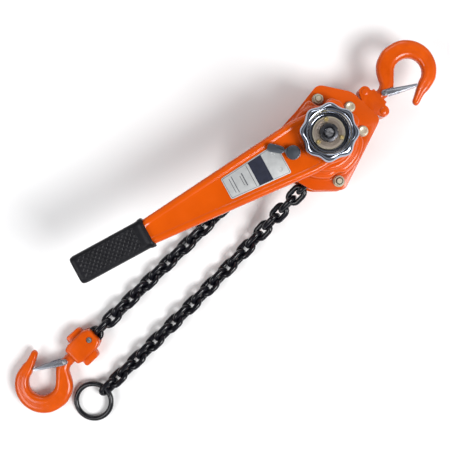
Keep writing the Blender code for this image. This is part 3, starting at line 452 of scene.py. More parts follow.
def link_rings(centre, along, across):
    """One welded link: round wire along two half rounds and the straight sides between them."""
    bend = (CHAIN_WIDTH - CHAIN_WIRE) / 2
    straight = (CHAIN_PITCH + CHAIN_WIRE) / 2 - bend
    path = []
    for end in (1.0, -1.0):
        for k in range(BEND_STEPS + 1):
            angle = math.pi * (k / BEND_STEPS - 0.5)
            out = end * (straight + bend * math.cos(angle))
            path.append(centre + out * along + end * bend * math.sin(angle) * across)
    return tyre(path, along.cross(across).normalized(), CHAIN_WIRE / 2)


def smooth(points, steps):
    """Close points along a Catmull-Rom curve through these points."""
    through = [Vector(point) for point in points]
    guide = [2 * through[0] - through[1]] + through + [2 * through[-1] - through[-2]]
    fine = []
    for a, b, c, d in zip(guide, guide[1:], guide[2:], guide[3:]):
        for k in range(steps):
            t = k / steps
            fine.append(0.5 * (2 * b + (c - a) * t + (2 * a - 5 * b + 4 * c - d) * t * t
                               + (3 * b - a - 3 * c + d) * t ** 3))
    return fine + [through[-1]]


def places_along(points, count):
    """(place, direction) at so many equal steps along the points."""
    lengths = [(q - p).length for p, q in zip(points, points[1:])]
    step = sum(lengths) / count
    found, run, want = [], 0.0, 0.0
    for p, q, length in zip(points, points[1:], lengths):
        while run + length >= want - 1e-6 and len(found) <= count:
            found.append((p.lerp(q, max(0.0, (want - run) / length)), (q - p).normalized()))
            want += step
        run += length
    return found


def link_across(direction, standing, twist):
    """The direction across a link on a run: upright or level, then turned about the run."""
    level = direction.cross(Z).normalized()
    across = level.cross(direction).normalized() if standing else level
    return Matrix.Rotation(twist, 3, direction) @ across


def chain_run(name, route, last, steps, first_standing, wind, unwind, node):
    """The links of one run up to its end link. They lean over within wind links, and turn back level over
    the last unwind links."""
    tangent = Vector((route[0][0], 0.0, CHAIN_Z))
    stops = places_along(smooth([tangent] + route + [last], CURVE_STEPS), steps)
    shape = bmesh.new()
    for i, (place, direction) in enumerate(stops[:-1]):
        if i < LINKS_HIDDEN:
            continue
        standing = (i % 2 == 0) == first_standing
        twist = CHAIN_LEAN * min(1.0, (i - LINKS_HIDDEN) / wind, (steps - i) / unwind if unwind else 1.0)
        ring_faces(shape, link_rings(place, direction, link_across(direction, standing, twist)), closed=True)
    bmesh.ops.recalc_face_normals(shape, faces=shape.faces)
    return piece(name, shape, CHAIN, "frame", "black_chain", node)


def chains():
    """The links on the sheave, both free runs with their last links, and the end ring."""
    shape = bmesh.new()
    for k in range(SHEAVE_LINKS):
        angle = math.pi * k / (SHEAVE_LINKS - 1)
        out = Vector((*polar(1.0, angle), 0.0))
        along = Vector((-out.y, out.x, 0.0))
        across = out if k % 2 == 0 else Z
        ring_faces(shape, link_rings(out * SHEAVE_PCR + Z * CHAIN_Z, along, across), closed=True)
    for side, across in ((1.0, Z), (-1.0, X)):
        centre = Vector((side * SHEAVE_PCR, -CHAIN_PITCH, CHAIN_Z))
        ring_faces(shape, link_rings(centre, Y, across), closed=True)
    bmesh.ops.recalc_face_normals(shape, faces=shape.faces)
    piece("sheave_links", shape, CHAIN, "frame", "black_chain", "chain_on_sheave")

    load = chain_run("load_links", LOAD_ROUTE, LOAD_END, LOAD_STEPS, True, LEAN_STEPS, LEVEL_STEPS,
                     "load_chain")
    slack = chain_run("slack_links", SLACK_ROUTE, SLACK_END, SLACK_STEPS, False, SLACK_LEAN_STEPS, 0,
                      "slack_chain")
    leaning = Matrix.Rotation(CHAIN_LEAN, 3, -Y) @ Z
    load_link = skin(link_rings(Vector(LOAD_END), Y, X), closed=True)
    load_end = piece("load_last_link", load_link, CHAIN, "frame", "black_chain", "load_end_link")
    slack_link = skin(link_rings(Vector(SLACK_END) - Z, Y, leaning), closed=True)
    slack_end = piece("slack_last_link", slack_link, CHAIN, "frame", "black_chain", "slack_end_link")
    ring = end_ring()


def end_ring():
    """The ring hangs in the slack chain's last link and leans down to the floor."""
    tilt = math.asin((RING_HANG[2] - RING_WIRE / 2 - RING_CLEARANCE) / (2 * RING_RADIUS))
    along = Vector((0.0, -math.cos(tilt), -math.sin(tilt)))
    centre = Vector(RING_HANG) + along * RING_RADIUS
    path = [centre + x * X + y * along for x, y in circle(RING_RADIUS, 72)]
    return piece("ring", skin(tyre(path, along.cross(X), RING_WIRE / 2, 16), closed=True), CHAIN,
                 "end_ring", "black_chain", "end_ring")


# Frame: covers, stays and rivets

def reach(outline, angle):
    """How far a ray from the drive axis runs before it leaves the outline."""
    dx, dy = polar(1.0, angle)
    for (x1, y1), (x2, y2) in zip(outline, outline[1:] + outline[:1]):
        ex, ey = x2 - x1, y2 - y1
        cross = dx * ey - dy * ex
        if abs(cross) > 1e-9:
            along_ray = (x1 * ey - y1 * ex) / cross
            if along_ray > 0 and 0 <= (x1 * dy - y1 * dx) / cross <= 1:
                return along_ray
    raise ValueError("the ray misses the outline")


COVER_SAMPLES = 240
DOME_LIMIT, DOME_SCALLOP = 43.3, 8.9
TIER_LIMIT, TIER_SCALLOP = 36.5, 12.0
RIM_MARGIN, COVER_WALL, SUNK_DISC = 3.2, 2.0, 6.0
COVER_ANGLES = [TAU * i / COVER_SAMPLES for i in range(COVER_SAMPLES)]
BODY_OUTLINE = rounded(BODY_CORNERS, 10)
RIM = [reach(BODY_OUTLINE, angle) for angle in COVER_ANGLES]


def dome_radii(limit, scallop):
    """The dome's radius at each angle: round, inside the rim, scalloped at each stay, and smoothed."""
    radii = []
    for angle, rim in zip(COVER_ANGLES, RIM):
        radius = min(limit, rim - RIM_MARGIN)
        for x, y in NUTTED_STAYS + RIVETED_STAYS:
            distance, off = math.hypot(x, y), angle - math.atan2(y, x)
            side = distance * math.sin(off)
            if abs(side) < scallop and math.cos(off) > 0:
                radius = min(radius, distance * math.cos(off) - math.sqrt(scallop ** 2 - side ** 2))
        radii.append(radius)
    for _ in range(3):
        radii = [(radii[i - 2] + 2 * radii[i - 1] + 3 * radii[i] + 2 * radii[(i + 1) % COVER_SAMPLES]
                  + radii[(i + 2) % COVER_SAMPLES]) / 9 for i in range(COVER_SAMPLES)]
    return radii


DOME = dome_radii(DOME_LIMIT, DOME_SCALLOP)
TIER = dome_radii(TIER_LIMIT, TIER_SCALLOP)


def ring_at(radii, inset, z):
    """A ring of a cover from its radii, moved inwards."""
    return [(*polar(radius - inset, angle), z) for radius, angle in zip(radii, COVER_ANGLES)]


def cover_rings(flange_z, top_z):
    """Outer rings of a pressed cover, from the flange's edge over both tiers to the roof."""
    up = 1.0 if top_z > flange_z else -1.0
    rings = [ring_at(RIM, 0.0, flange_z), ring_at(RIM, 0.0, flange_z + up * 1.2),
             ring_at(RIM, 0.25, flange_z + up * 1.75), ring_at(RIM, 0.9, flange_z + up * 2.0)]
    flare = [(-2.0 + 2.0 * math.sin(a), 2.0 + 2.0 * (1 - math.cos(a)))
             for a in (math.pi / 2 * k / 4 for k in range(5))]
    rings += [ring_at(DOME, edge, flange_z + up * rise) for edge, rise in flare]
    tier_z = top_z - up * 7.0
    rings += [ring_at(DOME, edge, tier_z + up * z) for edge, z in fillet(4.5)]
    rings += [ring_at(TIER, edge, tier_z + up * z) for edge, z in ((-1.6, 0.0), (-0.7, 0.35), (-0.2, 1.2))]
    rings += [ring_at(TIER, edge, top_z + up * z) for edge, z in fillet(3.5, edge=0.2)]
    return rings, up


def covers():
    """Both pressed covers: the brake's is open round the drive, the gear's has a sunk disc."""
    for name, node, flange_z, top_z, mouth in (("gear_cover_shell", "gear_cover", 29.7, 0.0, 9.0),
                                               ("brake_cover_shell", "brake_cover", 70.3, 98.0, 25.0)):
        rings, up = cover_rings(flange_z, top_z)
        inner_z = top_z - up * COVER_WALL
        inside = [ring_at(TIER, 3.6, inner_z), ring_at(DOME, 2.4, top_z - up * 9.5),
                  ring_at(DOME, 2.2, flange_z)]
        rings += stack([(mouth, top_z)], COVER_SAMPLES)
        if node == "brake_cover":
            shape = skin(rings + stack([(mouth, inner_z)], COVER_SAMPLES) + inside, closed=True)
        else:
            shape = pot(rings + stack([(SUNK_DISC, 0.6)], COVER_SAMPLES),
                        stack([(SUNK_DISC, inner_z)], COVER_SAMPLES) + inside)
        low, high = sorted((flange_z - up * 1.0, flange_z + up * 4.0))
        drills = [loose(skin(stack([(3.4, low), (3.4, high)], 32, at)), "drill")
                  for at in NUTTED_STAYS + RIVETED_STAYS]
        piece(name, shape, PAINT, "frame", "orange_paint", node, cutters=drills, sharp=50.0)


HEX_SAMPLES, CHAMFER = 72, 0.9
THREAD_TURNS, THREAD_PITCH = 24, 0.42


def hexagon(across, z_foot, z_shoulder, z_face, centre, turn):
    """Rings of a hexagonal nut or head, whose corners are cut back at its face."""
    corner = across / math.sqrt(3)
    outline, cut_back = [], []
    for k in range(HEX_SAMPLES):
        angle = TAU * k / HEX_SAMPLES
        flat = across / 2 / math.cos((angle % (TAU / 6)) - TAU / 12)
        for points, radius in ((outline, flat), (cut_back, min(flat, corner - CHAMFER))):
            x, y = polar(radius, angle + turn)
            points.append((centre[0] + x, centre[1] + y))
    return [at_height(outline, z_foot), at_height(outline, z_shoulder), at_height(cut_back, z_face)]


def stays():
    """Two bolts with washers and nuts, and three stays with riveted heads."""
    for i, centre in enumerate(NUTTED_STAYS):
        washer = [(3.2, 72.4), (6.2, 72.4), (6.4, 72.6), (6.4, 73.3), (6.2, 73.6), (3.2, 73.6)]
        piece(f"stay_washer_{i + 1}", skin(stack(washer, 48, centre), closed=True), ZINC, "frame", "zinc")
        nut = hexagon(10.0, 73.7, 79.0 - CHAMFER * 0.7, 79.0, centre, 0.4 + i)
        nut += stack([(4.0, 79.0), (3.25, 78.2), (3.25, 73.7)], HEX_SAMPLES, centre)
        piece(f"stay_hex_nut_{i + 1}", skin(nut, closed=True), ZINC, "frame", "zinc", f"stay_nut_{i + 1}",
              sharp=28)
        head = stack([(0.4, 21.6), (3.6, 21.6)], HEX_SAMPLES, centre)
        head += reversed(hexagon(11.0, 27.4, 22.4, 21.7, centre, i))
        shank = [(3.0, 27.45), (3.0, 34.3), (4.5, 34.3), (4.5, 65.7), (3.0, 65.7)]
        for k in range(THREAD_TURNS):
            start = 70.0 + k * THREAD_PITCH
            shank += [(3.0, start), (2.75, start + THREAD_PITCH / 2)]
        shank += [(3.0, 80.2), (2.4, 81.0)]
        piece(f"stay_{i + 1}", skin(head + stack(shank, HEX_SAMPLES, centre)), ZINC, "frame", "zinc",
              f"stay_bolt_{i + 1}", sharp=28)
    for i, centre in enumerate(RIVETED_STAYS):
        lower = [(3.0, 24.3), (4.8, 24.4), (5.9, 24.9), (6.4, 25.8), (6.4, 27.4)]
        shank = [(3.0, 27.4), (3.0, 34.3), (4.5, 34.3), (4.5, 65.7), (3.0, 65.7), (3.0, 72.5)]
        upper = [(6.0, 72.5), (6.0, 73.2), (5.4, 73.6), (5.4, 74.9), (5.1, 75.6), (4.6, 75.9), (3.7, 75.9),
                 (3.4, 75.6), (0.8, 75.6)]
        rivet = skin(stack(lower + shank + upper, 48, centre))
        piece(f"stay_rivet_head_{i + 1}", rivet, ZINC, "frame", "zinc", f"stay_rivet_{i + 1}", sharp=50)


# Lever

LEVER_MID_Z, LEVER_SPLIT_Z, LEVER_FRONT_Z, LEVER_BACK_Z = 114.0, 112.0, 127.0, 101.0
FRONT_HOLE, BACK_HOLE, LEVER_SHEET = 14.6, 22.3, 1.8
LEVER_DRILL = (95.0, 132.0)
SELECTOR_AT, SELECTOR_ANGLE, SELECTOR_WAY = 40.3, math.radians(-40.8), 4.1
TAPER_FROM, TAPER_LENGTH, TAPER_LOSS = 125.0, 80.0, 0.22
TAPER_CUTS = range(122, 203, 8)


def eased(t):
    """A smooth step from 0 to 1, held level past both ends."""
    t = min(max(t, 0.0), 1.0)
    return t * t * (3.0 - 2.0 * t)


def depth_at(s):
    """The lever's depth falls to four fifths of itself between the name plate and the grip."""
    return 1.0 - TAPER_LOSS * eased((s - TAPER_FROM) / TAPER_LENGTH)


def lever_outline(inset):
    """The lever seen along the drive axis: a round hub and a tapering arm that steps in at the grip."""
    side = [(s, 13.6 + (213.0 - s) * 0.0865 - inset) for s in (28.0, 36.0, 45.0, 90.0, 125.0, 160.0, 208.4)]
    side += [(209.0 + inset * 0.1, 12.0 - inset), (286.0 - inset, 12.0 - inset)]
    hub = [polar(30.3 - inset, math.radians(72.0 + 216.0 * k / 48)) for k in range(49)]
    return hub + [(s, -w) for s, w in side] + [(s, w) for s, w in reversed(side)]


def lever_shell(name, node, split_z, face_z, hole_radius, rib):
    """One pressed half of even thickness: rounded shoulders, a low border rib and a flat panel."""
    up = 1.0 if face_z > split_z else -1.0
    profile = [(0.0, split_z)]
    profile += [(edge, face_z + up * z) for edge, z in fillet(4.2, 6)]
    if rib:
        sunk = [(6.0, 0.0), (6.8, 0.25), (7.4, 0.7), (8.2, 0.8)]
        profile += [(inset, face_z - up * depth) for inset, depth in sunk]
    rings = [at_height(lever_outline(inset), z) for inset, z in profile]
    shape = bmesh.new()
    loops = ring_faces(shape, rings)
    shape.faces.new(loops[-1])
    for s in TAPER_CUTS:
        geometry = shape.verts[:] + shape.edges[:] + shape.faces[:]
        bmesh.ops.bisect_plane(shape, geom=geometry, plane_co=(s, 0, 0), plane_no=(1, 0, 0))
    for vert in shape.verts:
        vert.co.z = LEVER_MID_Z + (vert.co.z - LEVER_MID_Z) * depth_at(vert.co.x)
    bmesh.ops.recalc_face_normals(shape, faces=shape.faces)
    roof = [face for face in shape.faces if abs(face.normal.z) > 0.9]
    if sum(face.normal.z * face.calc_area() for face in roof) * up < 0:
        bmesh.ops.reverse_faces(shape, faces=shape.faces)
    holes = [(hole_radius, 64, (0.0, 0.0)), (SELECTOR_WAY, 32, (SELECTOR_AT, 0.0))]
    drills = [loose(skin(stack([(radius, z) for z in LEVER_DRILL], count, at)), "drill", LEVER)
              for radius, count, at in holes]
    piece(name, shape, PAINT, "lever", "orange_paint", node, matrix=LEVER, cutters=drills,
          solidify=LEVER_SHEET, sharp=38.0)


GRIP_SAMPLES, GRIP_HALF_WIDTH, GRIP_HALF_DEPTH, GRIP_CORNER, GRIP_WALL = 168, 15.2, 12.4, 5.5, 3.2
TREAD_FROM, TREAD_TO, TREAD_HALF, TREAD_ROWS, TREAD_EDGE = 221.0, 287.0, 11.6, 18, 0.8
# How far the collar stands out of the section at each of the first stops, and the sleeve after them
COLLAR, SLEEVE = [-1.6, 0.9, 1.4, 1.4, 1.1, 0.6, 0.35, 0.3], 0.3


def grip():
    """A moulded rubber sleeve with a raised collar, a domed end and a diamond pattern."""
    outline = rounded([(x * GRIP_HALF_WIDTH, y * GRIP_HALF_DEPTH, GRIP_CORNER)
                       for x, y in ((1, -1), (1, 1), (-1, 1), (-1, -1))], 12)
    steps = [math.dist(p, q) for p, q in zip(outline, outline[1:] + outline[:1])]
    girth = sum(steps)
    section, walk, index = [], 0.0, 0
    for k in range(GRIP_SAMPLES):
        want = girth * k / GRIP_SAMPLES
        while walk + steps[index] < want:
            walk += steps[index]
            index += 1
        ahead = Vector(outline[(index + 1) % len(outline)])
        here = Vector(outline[index]).lerp(ahead, (want - walk) / steps[index])
        section.append((here, want))
    normals = []
    for k in range(GRIP_SAMPLES):
        along = section[(k + 1) % GRIP_SAMPLES][0] - section[k - 1][0]
        normals.append(Vector((along.y, -along.x)).normalized())
    pitch = girth / TREAD_ROWS

    def groove(s, v, x):
        """A sunk panel on the two broad faces, with diamonds standing in it."""
        room = min(TREAD_HALF - abs(x), s - TREAD_FROM, TREAD_TO - s)
        inside = min(1.0, max(0.0, room / TREAD_EDGE))
        near = min(abs((s + v) / pitch % 1.0 - 0.5), abs((s - v) / pitch % 1.0 - 0.5))
        return inside * (0.25 + 0.75 * max(0.0, 1.0 - near / 0.16) ** 0.7)

    def section_at(s, level):
        ring = []
        for (here, v), normal in zip(section, normals):
            point = here + normal * (level - groove(s, v, here.x))
            ring.append((s, point.x, LEVER_MID_Z + point.y))
        return ring

    stops = [209.3, 209.3, 209.8, 212.4, 213.4, 215.0, 216.2, 217.6] + [218.0 + 0.5 * k for k in range(143)]
    stops += [290.0, 291.5, 292.7, 293.6, 294.0, 294.0]
    outside = []
    for i, s in enumerate(stops):
        drop = max(0.0, s - 289.0) / 5.0
        level = (COLLAR[i] if i < len(COLLAR) else SLEEVE) - (3.0 if i == len(stops) - 1 else 0.0)
        level -= 2.75 * (1.0 - math.sqrt(max(0.0, 1.0 - drop * drop)))
        outside.append(section_at(s, level))
    inside = [section_at(s, -GRIP_WALL) for s in (290.0, 213.0, 209.3)]
    piece("grip_sleeve", pot(outside, inside), RUBBER, "lever", "black_rubber", "lever_grip", matrix=LEVER,
          sharp=50.0)


def slab(near, far, near_half, far_half, low, high, corner):
    """A flat plate between two distances along the lever, with a half width at each."""
    outline = rounded([(far, -far_half, corner), (far, far_half, corner), (near, near_half, corner),
                       (near, -near_half, corner)])
    return skin(prism(outline, (low, high)))


def name_plate():
    """A silver plate with a dark band, a border, plain bars for its print and two flat rivets."""
    near, far, near_half, far_half = 51.0, 118.0, 17.0, 11.9
    base = 126.25
    piece("plate_sheet", slab(near, far, near_half, far_half, base, base + 0.6, 2.0), PLATE, "lever",
          "plate_aluminium", "name_plate", matrix=LEVER, bevel=0.2)

    def half_at(s, margin):
        return near_half + (far_half - near_half) * (s - near) / (far - near) - margin

    bands = [("plate_band", NAVY, 70.5, 86.0, 1.3), ("plate_bar_1", PRINT, 88.6, 89.1, 2.2),
             ("plate_bar_2", PRINT, 96.0, 97.2, 6.5), ("plate_bar_3", PRINT, 99.0, 99.6, 8.0),
             ("plate_bar_4", PRINT, 107.0, 107.9, 3.6), ("plate_bar_5", PRINT, 110.2, 110.9, 4.4)]
    for name, surface, start, end, margin in bands:
        shape = slab(start, end, half_at(start, margin), half_at(end, margin), base + 0.55, base + 0.68, 0.35)
        piece(name, shape, surface, "lever", "plate_aluminium", matrix=LEVER)
    outer, inner = (rounded([(far - inset, inset - far_half, 1.4), (far - inset, far_half - inset, 1.4),
                             (near + inset, near_half - inset, 1.4), (near + inset, inset - near_half, 1.4)])
                    for inset in (1.0, 1.4))
    border = [at_height(outer, base + 0.55), at_height(outer, base + 0.66), at_height(inner, base + 0.66),
              at_height(inner, base + 0.55)]
    piece("plate_border", skin(border, closed=True), PRINT, "lever", "plate_aluminium", matrix=LEVER)
    for i, y in enumerate((-9.4, 9.4)):
        head = [(2.4, 0.5), (2.3, 0.8), (1.9, 0.9), (1.6, 0.8), (0.5, 0.8)]
        rings = stack([(radius, base + rise) for radius, rise in head], 32, (59.0, y))
        piece(f"plate_rivet_{i + 1}", skin(rings), PLATE, "lever", "plate_aluminium", matrix=LEVER)


def selector():
    """A round boss with a waisted tab, on a shaft with a peened end."""
    matrix = LEVER @ Matrix.Translation((SELECTOR_AT, 0.0, 0.0)) @ Matrix.Rotation(SELECTOR_ANGLE, 4, "Z")
    outline = [polar(7.4, math.radians(34.0 + 292.0 * k / 40)) for k in range(41)]
    outline += rounded([(9.5, -2.9, 3.0), (13.0, -3.8, 2.0), (24.5, -4.2, 3.0), (27.0, -2.4, 2.0),
                        (27.0, 2.4, 2.0), (24.5, 4.2, 3.0), (13.0, 3.8, 2.0), (9.5, 2.9, 3.0)])
    drill = loose(skin(stack([(SELECTOR_WAY, 120.0), (SELECTOR_WAY, 140.0)], 40)), "drill", matrix)
    piece("selector_tab", skin(prism(outline, (128.3, 132.6))), SELECTOR_STEEL, "selector", "steel",
          "selector_lever", matrix=matrix, bevel=0.9, cutters=[drill])
    shaft = [(0.6, 99.5), (3.8, 99.5), (3.8, 132.7), (6.7, 132.8), (6.8, 133.4), (6.2, 134.0), (0.5, 134.2)]
    piece("selector_spindle", skin(stack(shaft, 40)), SELECTOR_STEEL, "selector", "steel", "selector_shaft",
          matrix=matrix)


# Hand wheel and what is inside its rim

WHEEL_SAMPLES, WHEEL_LOBES, LOBE_DEPTH = 256, 8, 2.8
PLATE_SAMPLES, PLATE_GROOVES = 180, 5


def turned(radius_at, count, z):
    """A ring whose radius depends on its angle."""
    angles = [TAU * i / count for i in range(count)]
    return [(*polar(radius_at(angle), angle), z) for angle in angles]


def hand_wheel():
    """The chromed wheel: a lobed rim round a round bore that steps down to the hub."""

    def lobed(outer, z, share=1.0):
        return turned(lambda angle: outer - share * LOBE_DEPTH * (0.5 - 0.5 * math.cos(WHEEL_LOBES * angle)),
                      WHEEL_SAMPLES, z)

    rings = stack([(14.0, 121.0), (14.0, 129.3)], WHEEL_SAMPLES)
    rings += [lobed(27.6, 129.3), lobed(29.3, 130.0), lobed(30.1, 131.6), lobed(30.3, 134.0),
              lobed(30.3, 142.2), lobed(29.9, 144.4), lobed(28.8, 146.3, 0.95), lobed(27.2, 147.4, 0.8),
              lobed(25.5, 147.9, 0.45)]
    rings += stack([(23.9, 148.0), (22.9, 147.8), (22.2, 147.2), (21.8, 146.2), (21.3, 143.0), (20.9, 142.2),
                    (20.1, 141.8), (19.8, 141.0), (19.6, 136.0), (19.2, 135.2), (18.5, 135.0), (5.3, 135.0),
                    (5.3, 121.0)], WHEEL_SAMPLES)
    piece("wheel_rim", skin(rings, closed=True), CHROME, "drive", "chrome", "hand_wheel", sharp=45)


def wheel_inside():
    """The retaining plate with three notches and screws, and the dark slotted nut on the shaft's end."""
    marks = [math.radians(angle) for angle in (147.0, 267.0, 27.0)]

    def notched(radius, depth, z):
        def radius_at(angle):
            off = min(abs(math.remainder(angle - mark, TAU)) * radius for mark in marks)
            return radius - depth * max(0.0, 1.0 - (off / 2.4) ** 4)
        return turned(radius_at, PLATE_SAMPLES, z)

    def slotted(outer, z):
        return turned(lambda angle: outer - (0.8 if abs(math.remainder(angle * 6, TAU)) < 0.6 else 0.0),
                      PLATE_SAMPLES, z)

    rings = [notched(17.0, 2.6, 135.3), notched(17.1, 2.6, 136.6), notched(16.7, 2.4, 137.3)]
    face = [(14.2, 137.5)]
    for k in range(PLATE_GROOVES):
        radius = 13.6 - k * 0.9
        face += [(radius, 137.5), (radius - 0.2, 137.2), (radius - 0.55, 137.2)]
    face += [(9.3, 137.5), (5.5, 137.45), (5.5, 135.3)]
    piece("wheel_plate", skin(rings + stack(face, PLATE_SAMPLES), closed=True), BRONZE, "drive", "bronze",
          "retaining_plate", sharp=35)
    # The raised outer ring is paler than the plate's bronze: a painted highlight
    rim = stack([(15.5, 137.0), (15.7, 137.9), (16.5, 137.9), (16.8, 137.0)], PLATE_SAMPLES)
    piece("wheel_plate_rim", skin(rim, closed=True), PLATE_RIM_HIGHLIGHT, "drive", "bronze", sharp=30)
    for i, mark in enumerate(marks):
        centre = polar(14.0, mark)
        head = [(0.5, 137.1), (2.4, 137.15), (2.4, 138.3), (2.0, 138.8), (1.1, 138.85), (0.8, 138.2),
                (0.3, 138.1)]
        piece(f"wheel_screw_{i + 1}", skin(stack(head, 24, centre)), GILT, "drive", "bronze", sharp=35)
    nut = [slotted(9.6, 137.7), slotted(9.6, 140.4), slotted(9.2, 141.3), slotted(8.6, 141.6)]
    nut += stack([(6.2, 141.8), (5.5, 141.2), (5.3, 137.7)], PLATE_SAMPLES)
    piece("wheel_nut", skin(nut, closed=True), DARK_STEEL, "drive", "steel", "shaft_nut", sharp=30)
    tip = stack([(0.6, 142.0), (1.6, 142.1), (2.2, 143.1), (4.2, 143.4), (4.9, 142.6), (5.0, 141.0),
                 (5.0, 138.0), (0.6, 138.0)])
    piece("shaft_tip", skin(tip, closed=True), DARK_STEEL, "drive", "steel", sharp=35)


# Hooks, latches, yoke and block

# Inner point, outer point and half thickness of each section
HOOK_STATIONS = [
    (8.8, -57.5, -8.8, -57.5, 8.8), (9.0, -57.0, -9.0, -57.0, 9.0), (9.0, -53.6, -9.0, -53.6, 9.0),
    (8.6, -53.0, -8.6, -53.0, 8.6), (6.5, -52.9, -6.5, -52.9, 6.5), (6.5, -44.0, -6.5, -44.0, 6.5),
    (6.5, -36.0, -6.5, -36.0, 6.5), (6.8, -30.0, -9.5, -31.5, 7.0), (5.5, -25.0, -15.5, -28.5, 7.2),
    (0.5, -19.2, -22.0, -24.5, 7.4), (-6.0, -13.0, -28.0, -18.5, 7.5), (-11.0, -7.0, -32.0, -10.0, 7.5),
    (-12.5, 0.0, -33.8, 0.0, 7.5)]
HOOK_TIP = [(18.4, 2.2, 32.8, 4.0, 7.2), (21.6, -4.0, 33.2, -3.5, 6.7), (24.4, -9.0, 34.6, -9.4, 6.0),
            (27.2, -14.2, 36.4, -14.6, 5.2), (29.0, -17.4, 36.6, -17.7, 4.4), (29.9, -18.7, 36.1, -18.9, 3.7),
            (31.2, -19.6, 34.9, -19.7, 2.2)]
SHANK_STATIONS, HOOK_STEPS = 6, 6


def hook_rings():
    """Dense sections along the hook: round at the shank, flat-faced and stepped round the bowl."""
    stations = list(HOOK_STATIONS)
    for turn in (150, 120, 90, 60, 32):
        u, v = polar(15.5, math.radians(turn))
        stations.append((3.0 + u, v, *polar(33.8, math.radians(turn)), 7.5))
    stations += HOOK_TIP
    shank = [Vector(station) for station in stations[:SHANK_STATIONS]]
    dense = shank + smooth(stations[SHANK_STATIONS:], HOOK_STEPS)
    rings = []
    for i, station in enumerate(dense):
        inner_u, inner_v, outer_u, outer_v, half = station
        middle = Vector(((inner_u + outer_u) / 2, (inner_v + outer_v) / 2, 0.0))
        edge = Vector(((outer_u - inner_u) / 2, (outer_v - inner_v) / 2, 0.0))
        from_shank, to_tip = (i - SHANK_STATIONS - 5) / 18, (len(dense) - 4 - i) / 16
        grown = min(max(from_shank, 0.0), 1.0) * min(max(to_tip, 0.0), 1.0)
        power = 1.0 / (1.0 + 0.45 * grown)
        ring = []
        for k in range(40):
            c, s = polar(1.0, TAU * k / 40)
            across = math.copysign(abs(c) ** power, c)
            rise = math.copysign(abs(s) ** power, s)
            rise *= 1.0 - 0.11 * grown * eased((across + 0.42) / 0.22)
            ring.append(middle + edge * across + half * rise * Z)
        rings.append(ring)
    return rings


LATCH_WAY = [(1.8, -14.0), (1.8, 14.0)]
LATCH_CHEEK, LATCH_INNER = 8.8, 7.9


def latch_shape():
    """The folded latch seen along its pin: round at the pin, narrowing to the hook's tip."""
    outline = [(3.4, -3.6), (16.0, -3.2), (36.4, -1.6), (36.8, -1.2), (36.8, 1.2), (26.0, 2.0), (10.0, 3.2)]
    outline += [polar(3.6, math.radians(turn)) for turn in range(90, 241, 15)]
    return outline


def hooks():
    """Both hooks, each with its latch and the latch's rivet."""
    inside = [(-8.0, -8.0), (18.0, -8.0), (18.0, -2.0), (39.0, -0.6), (39.0, 8.0), (-8.0, 8.0)]
    along = Vector(LATCH_END) - Vector(LATCH_PIVOT)
    turn = math.atan2(along.y, along.x)
    for place, matrix in (("top", TOP_HOOK), ("bottom", BOTTOM_HOOK)):
        way = loose(skin(stack(LATCH_WAY, 24, LATCH_PIVOT)), "way", matrix)
        hook, latch = f"{place}_hook", f"{place}_latch"
        piece(f"{place}_forging", skin(hook_rings()), CAST_PAINT, hook, "orange_paint", hook, matrix=matrix,
              cutters=[way], sharp=55)
        local = matrix @ Matrix.Translation((*LATCH_PIVOT, 0.0)) @ Matrix.Rotation(turn, 4, "Z")
        cuts = [loose(skin(prism(inside, (-LATCH_INNER, LATCH_INNER))), "inside", local),
                loose(skin(stack(LATCH_WAY, 24)), "way", local)]
        sheet = skin(prism(latch_shape(), (-LATCH_CHEEK, LATCH_CHEEK)))
        piece(f"{latch}_sheet", sheet, LATCH_STEEL, latch, "chrome", latch, matrix=local, cutters=cuts,
              bevel=0.3)
        pin = [(1.0, -9.9), (2.4, -9.8), (2.7, -9.4), (2.5, -9.0), (1.5, -8.9)]
        pin += [(radius, -z) for radius, z in reversed(pin)]
        piece(f"{latch}_rivet", skin(stack(pin, 32)), STEEL, latch, "steel", f"{latch}_pin", matrix=local,
              sharp=35)


def shank_way(start, end, matrix, z):
    """A cutter for the hook's collar and shank, along Y at this height."""
    rings = []
    for radius, y in ((9.4, start), (9.4, start + 5.7), (6.9, start + 5.7), (6.9, end)):
        rings.append([(x, y, z + up) for x, up in circle(radius, 48)])
    return loose(skin(rings), "way", matrix)


def top_yoke():
    """Two halves round the top hook's collar, held by two rivets in round bosses."""
    right = [polar(8.5, math.radians(turn)) for turn in range(-90, 1, 10)] + [(8.8, 6.0), (10.4, 13.0)]
    right += [(14.6 + x, 22.0 + y) for x, y in (polar(6.5, math.radians(t)) for t in range(-75, 116, 10))]
    right += [(10.6, 29.2), (10.2, 31.5)]
    outline = right + [(-x, y) for x, y in reversed(right[1:])]
    for side, near, far in (("front", CHAIN_Z + GAP / 2, 62.0), ("back", CHAIN_Z - GAP / 2, 38.0)):
        eye = loose(skin(stack([(5.3, 30.0), (5.3, 70.0)], 48)), "eye", TOP_YOKE)
        piece(f"yoke_{side}", skin(prism(outline, (near, far))), CAST_PAINT, "top_yoke", "orange_paint",
              f"top_yoke_{side}", matrix=TOP_YOKE, cutters=[shank_way(15.6, 34.0, TOP_YOKE, CHAIN_Z), eye],
              bevel=2.6)
    for i, x in enumerate((-14.6, 14.6)):
        boss = [(0.8, 38.2), (4.2, 38.0), (4.4, 38.6), (4.4, 61.4), (4.2, 62.0), (3.0, 62.6), (0.8, 62.7)]
        piece(f"yoke_rivet_{i + 1}", skin(stack(boss, 40, (x, 22.0))), CAST_PAINT, "top_yoke", "orange_paint",
              matrix=TOP_YOKE, sharp=50)


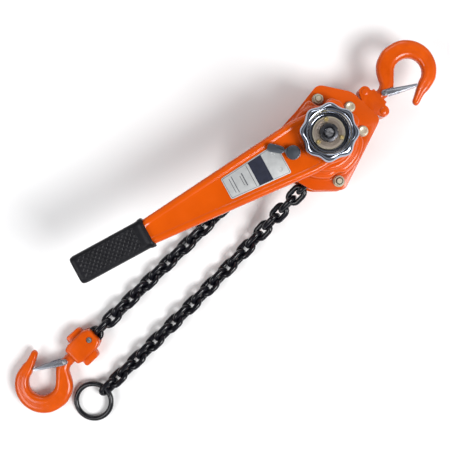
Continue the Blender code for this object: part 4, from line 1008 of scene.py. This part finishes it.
def bottom_block():
    """Two halves round the bottom hook's collar, with ears at both sides, and the chain pin."""
    body = rounded([(-9.5, -8.2, 5.5), (9.5, -8.2, 5.5), (13.0, 0.0, 4.0), (13.0, 22.0, 4.0),
                    (10.5, 28.8, 3.0), (-10.5, 28.8, 3.0), (-13.0, 22.0, 4.0), (-13.0, 0.0, 4.0)])
    ears = rounded([(-20.4, 5.0, 3.2), (0.0, 1.0, 3.0), (19.6, -0.5, 3.2), (20.4, 19.4, 3.2),
                    (0.0, 21.5, 3.0), (-20.4, 25.0, 3.2)])
    fan = [(17.0, -10.0), (12.0, 0.0)] + [polar(10.6, math.radians(t)) for t in range(20, 161, 10)]
    fan += [(-12.0, 0.0), (-17.0, -10.0)]
    for side, up in (("front", 1.0), ("back", -1.0)):
        cuts = [shank_way(16.4, 32.0, BLOCK, BLOCK_Z),
                loose(skin(stack([(3.5, -2.0), (3.5, 28.0)], 40)), "pin_way", BLOCK),
                loose(skin(prism(fan, (9.8, 16.2))), "link_way", BLOCK)]
        split = BLOCK_Z + up * GAP / 2
        half = loose(skin(prism(body, (split, BLOCK_Z + up * 13.0))), f"block_{side}", BLOCK)
        wing = loose(skin(prism(ears, (split, BLOCK_Z + up * 6.6))), "wing", BLOCK)
        settle(wing, bevel=2.0)
        settle(half, bevel=2.8)
        join = half.modifiers.new("join", "BOOLEAN")
        join.operation, join.solver, join.object = "UNION", "EXACT", wing
        settle(half, cuts)
        bpy.data.objects.remove(wing)
        dress(half, CAST_PAINT, "bottom_block", "orange_paint", f"bottom_block_{side}", sharp=42)
    pin = [(0.8, 0.8), (3.2, 0.8), (3.2, 25.6), (2.8, 26.0), (1.7, 26.0), (1.3, 25.4), (0.4, 25.3)]
    piece("block_pin", skin(stack(pin)), STEEL, "bottom_block", "steel", "chain_pin", matrix=BLOCK, sharp=28)


# Finishes of the CAD nodes that stay as they are

def dress_cad():
    """Gives every CAD node the finish of its material slot."""
    for entry in frame["record"]["subparts"]:
        made = frame["nodes"][entry["node"]]
        surface = SLOT_FINISH[entry["material_slot"]]
        if made.material_slots:
            for slot in made.material_slots:
                slot.material = surface
        else:
            made.data.materials.append(surface)


studio()
dress_cad()
chains()
covers()
stays()
lever_shell("lever_front", "lever_front_shell", LEVER_SPLIT_Z + GAP / 2, LEVER_FRONT_Z, FRONT_HOLE, rib=True)
lever_shell("lever_back", "lever_back_shell", LEVER_SPLIT_Z - GAP / 2, LEVER_BACK_Z, BACK_HOLE, rib=False)
grip()
name_plate()
selector()
hand_wheel()
wheel_inside()
hooks()
top_yoke()
bottom_block()
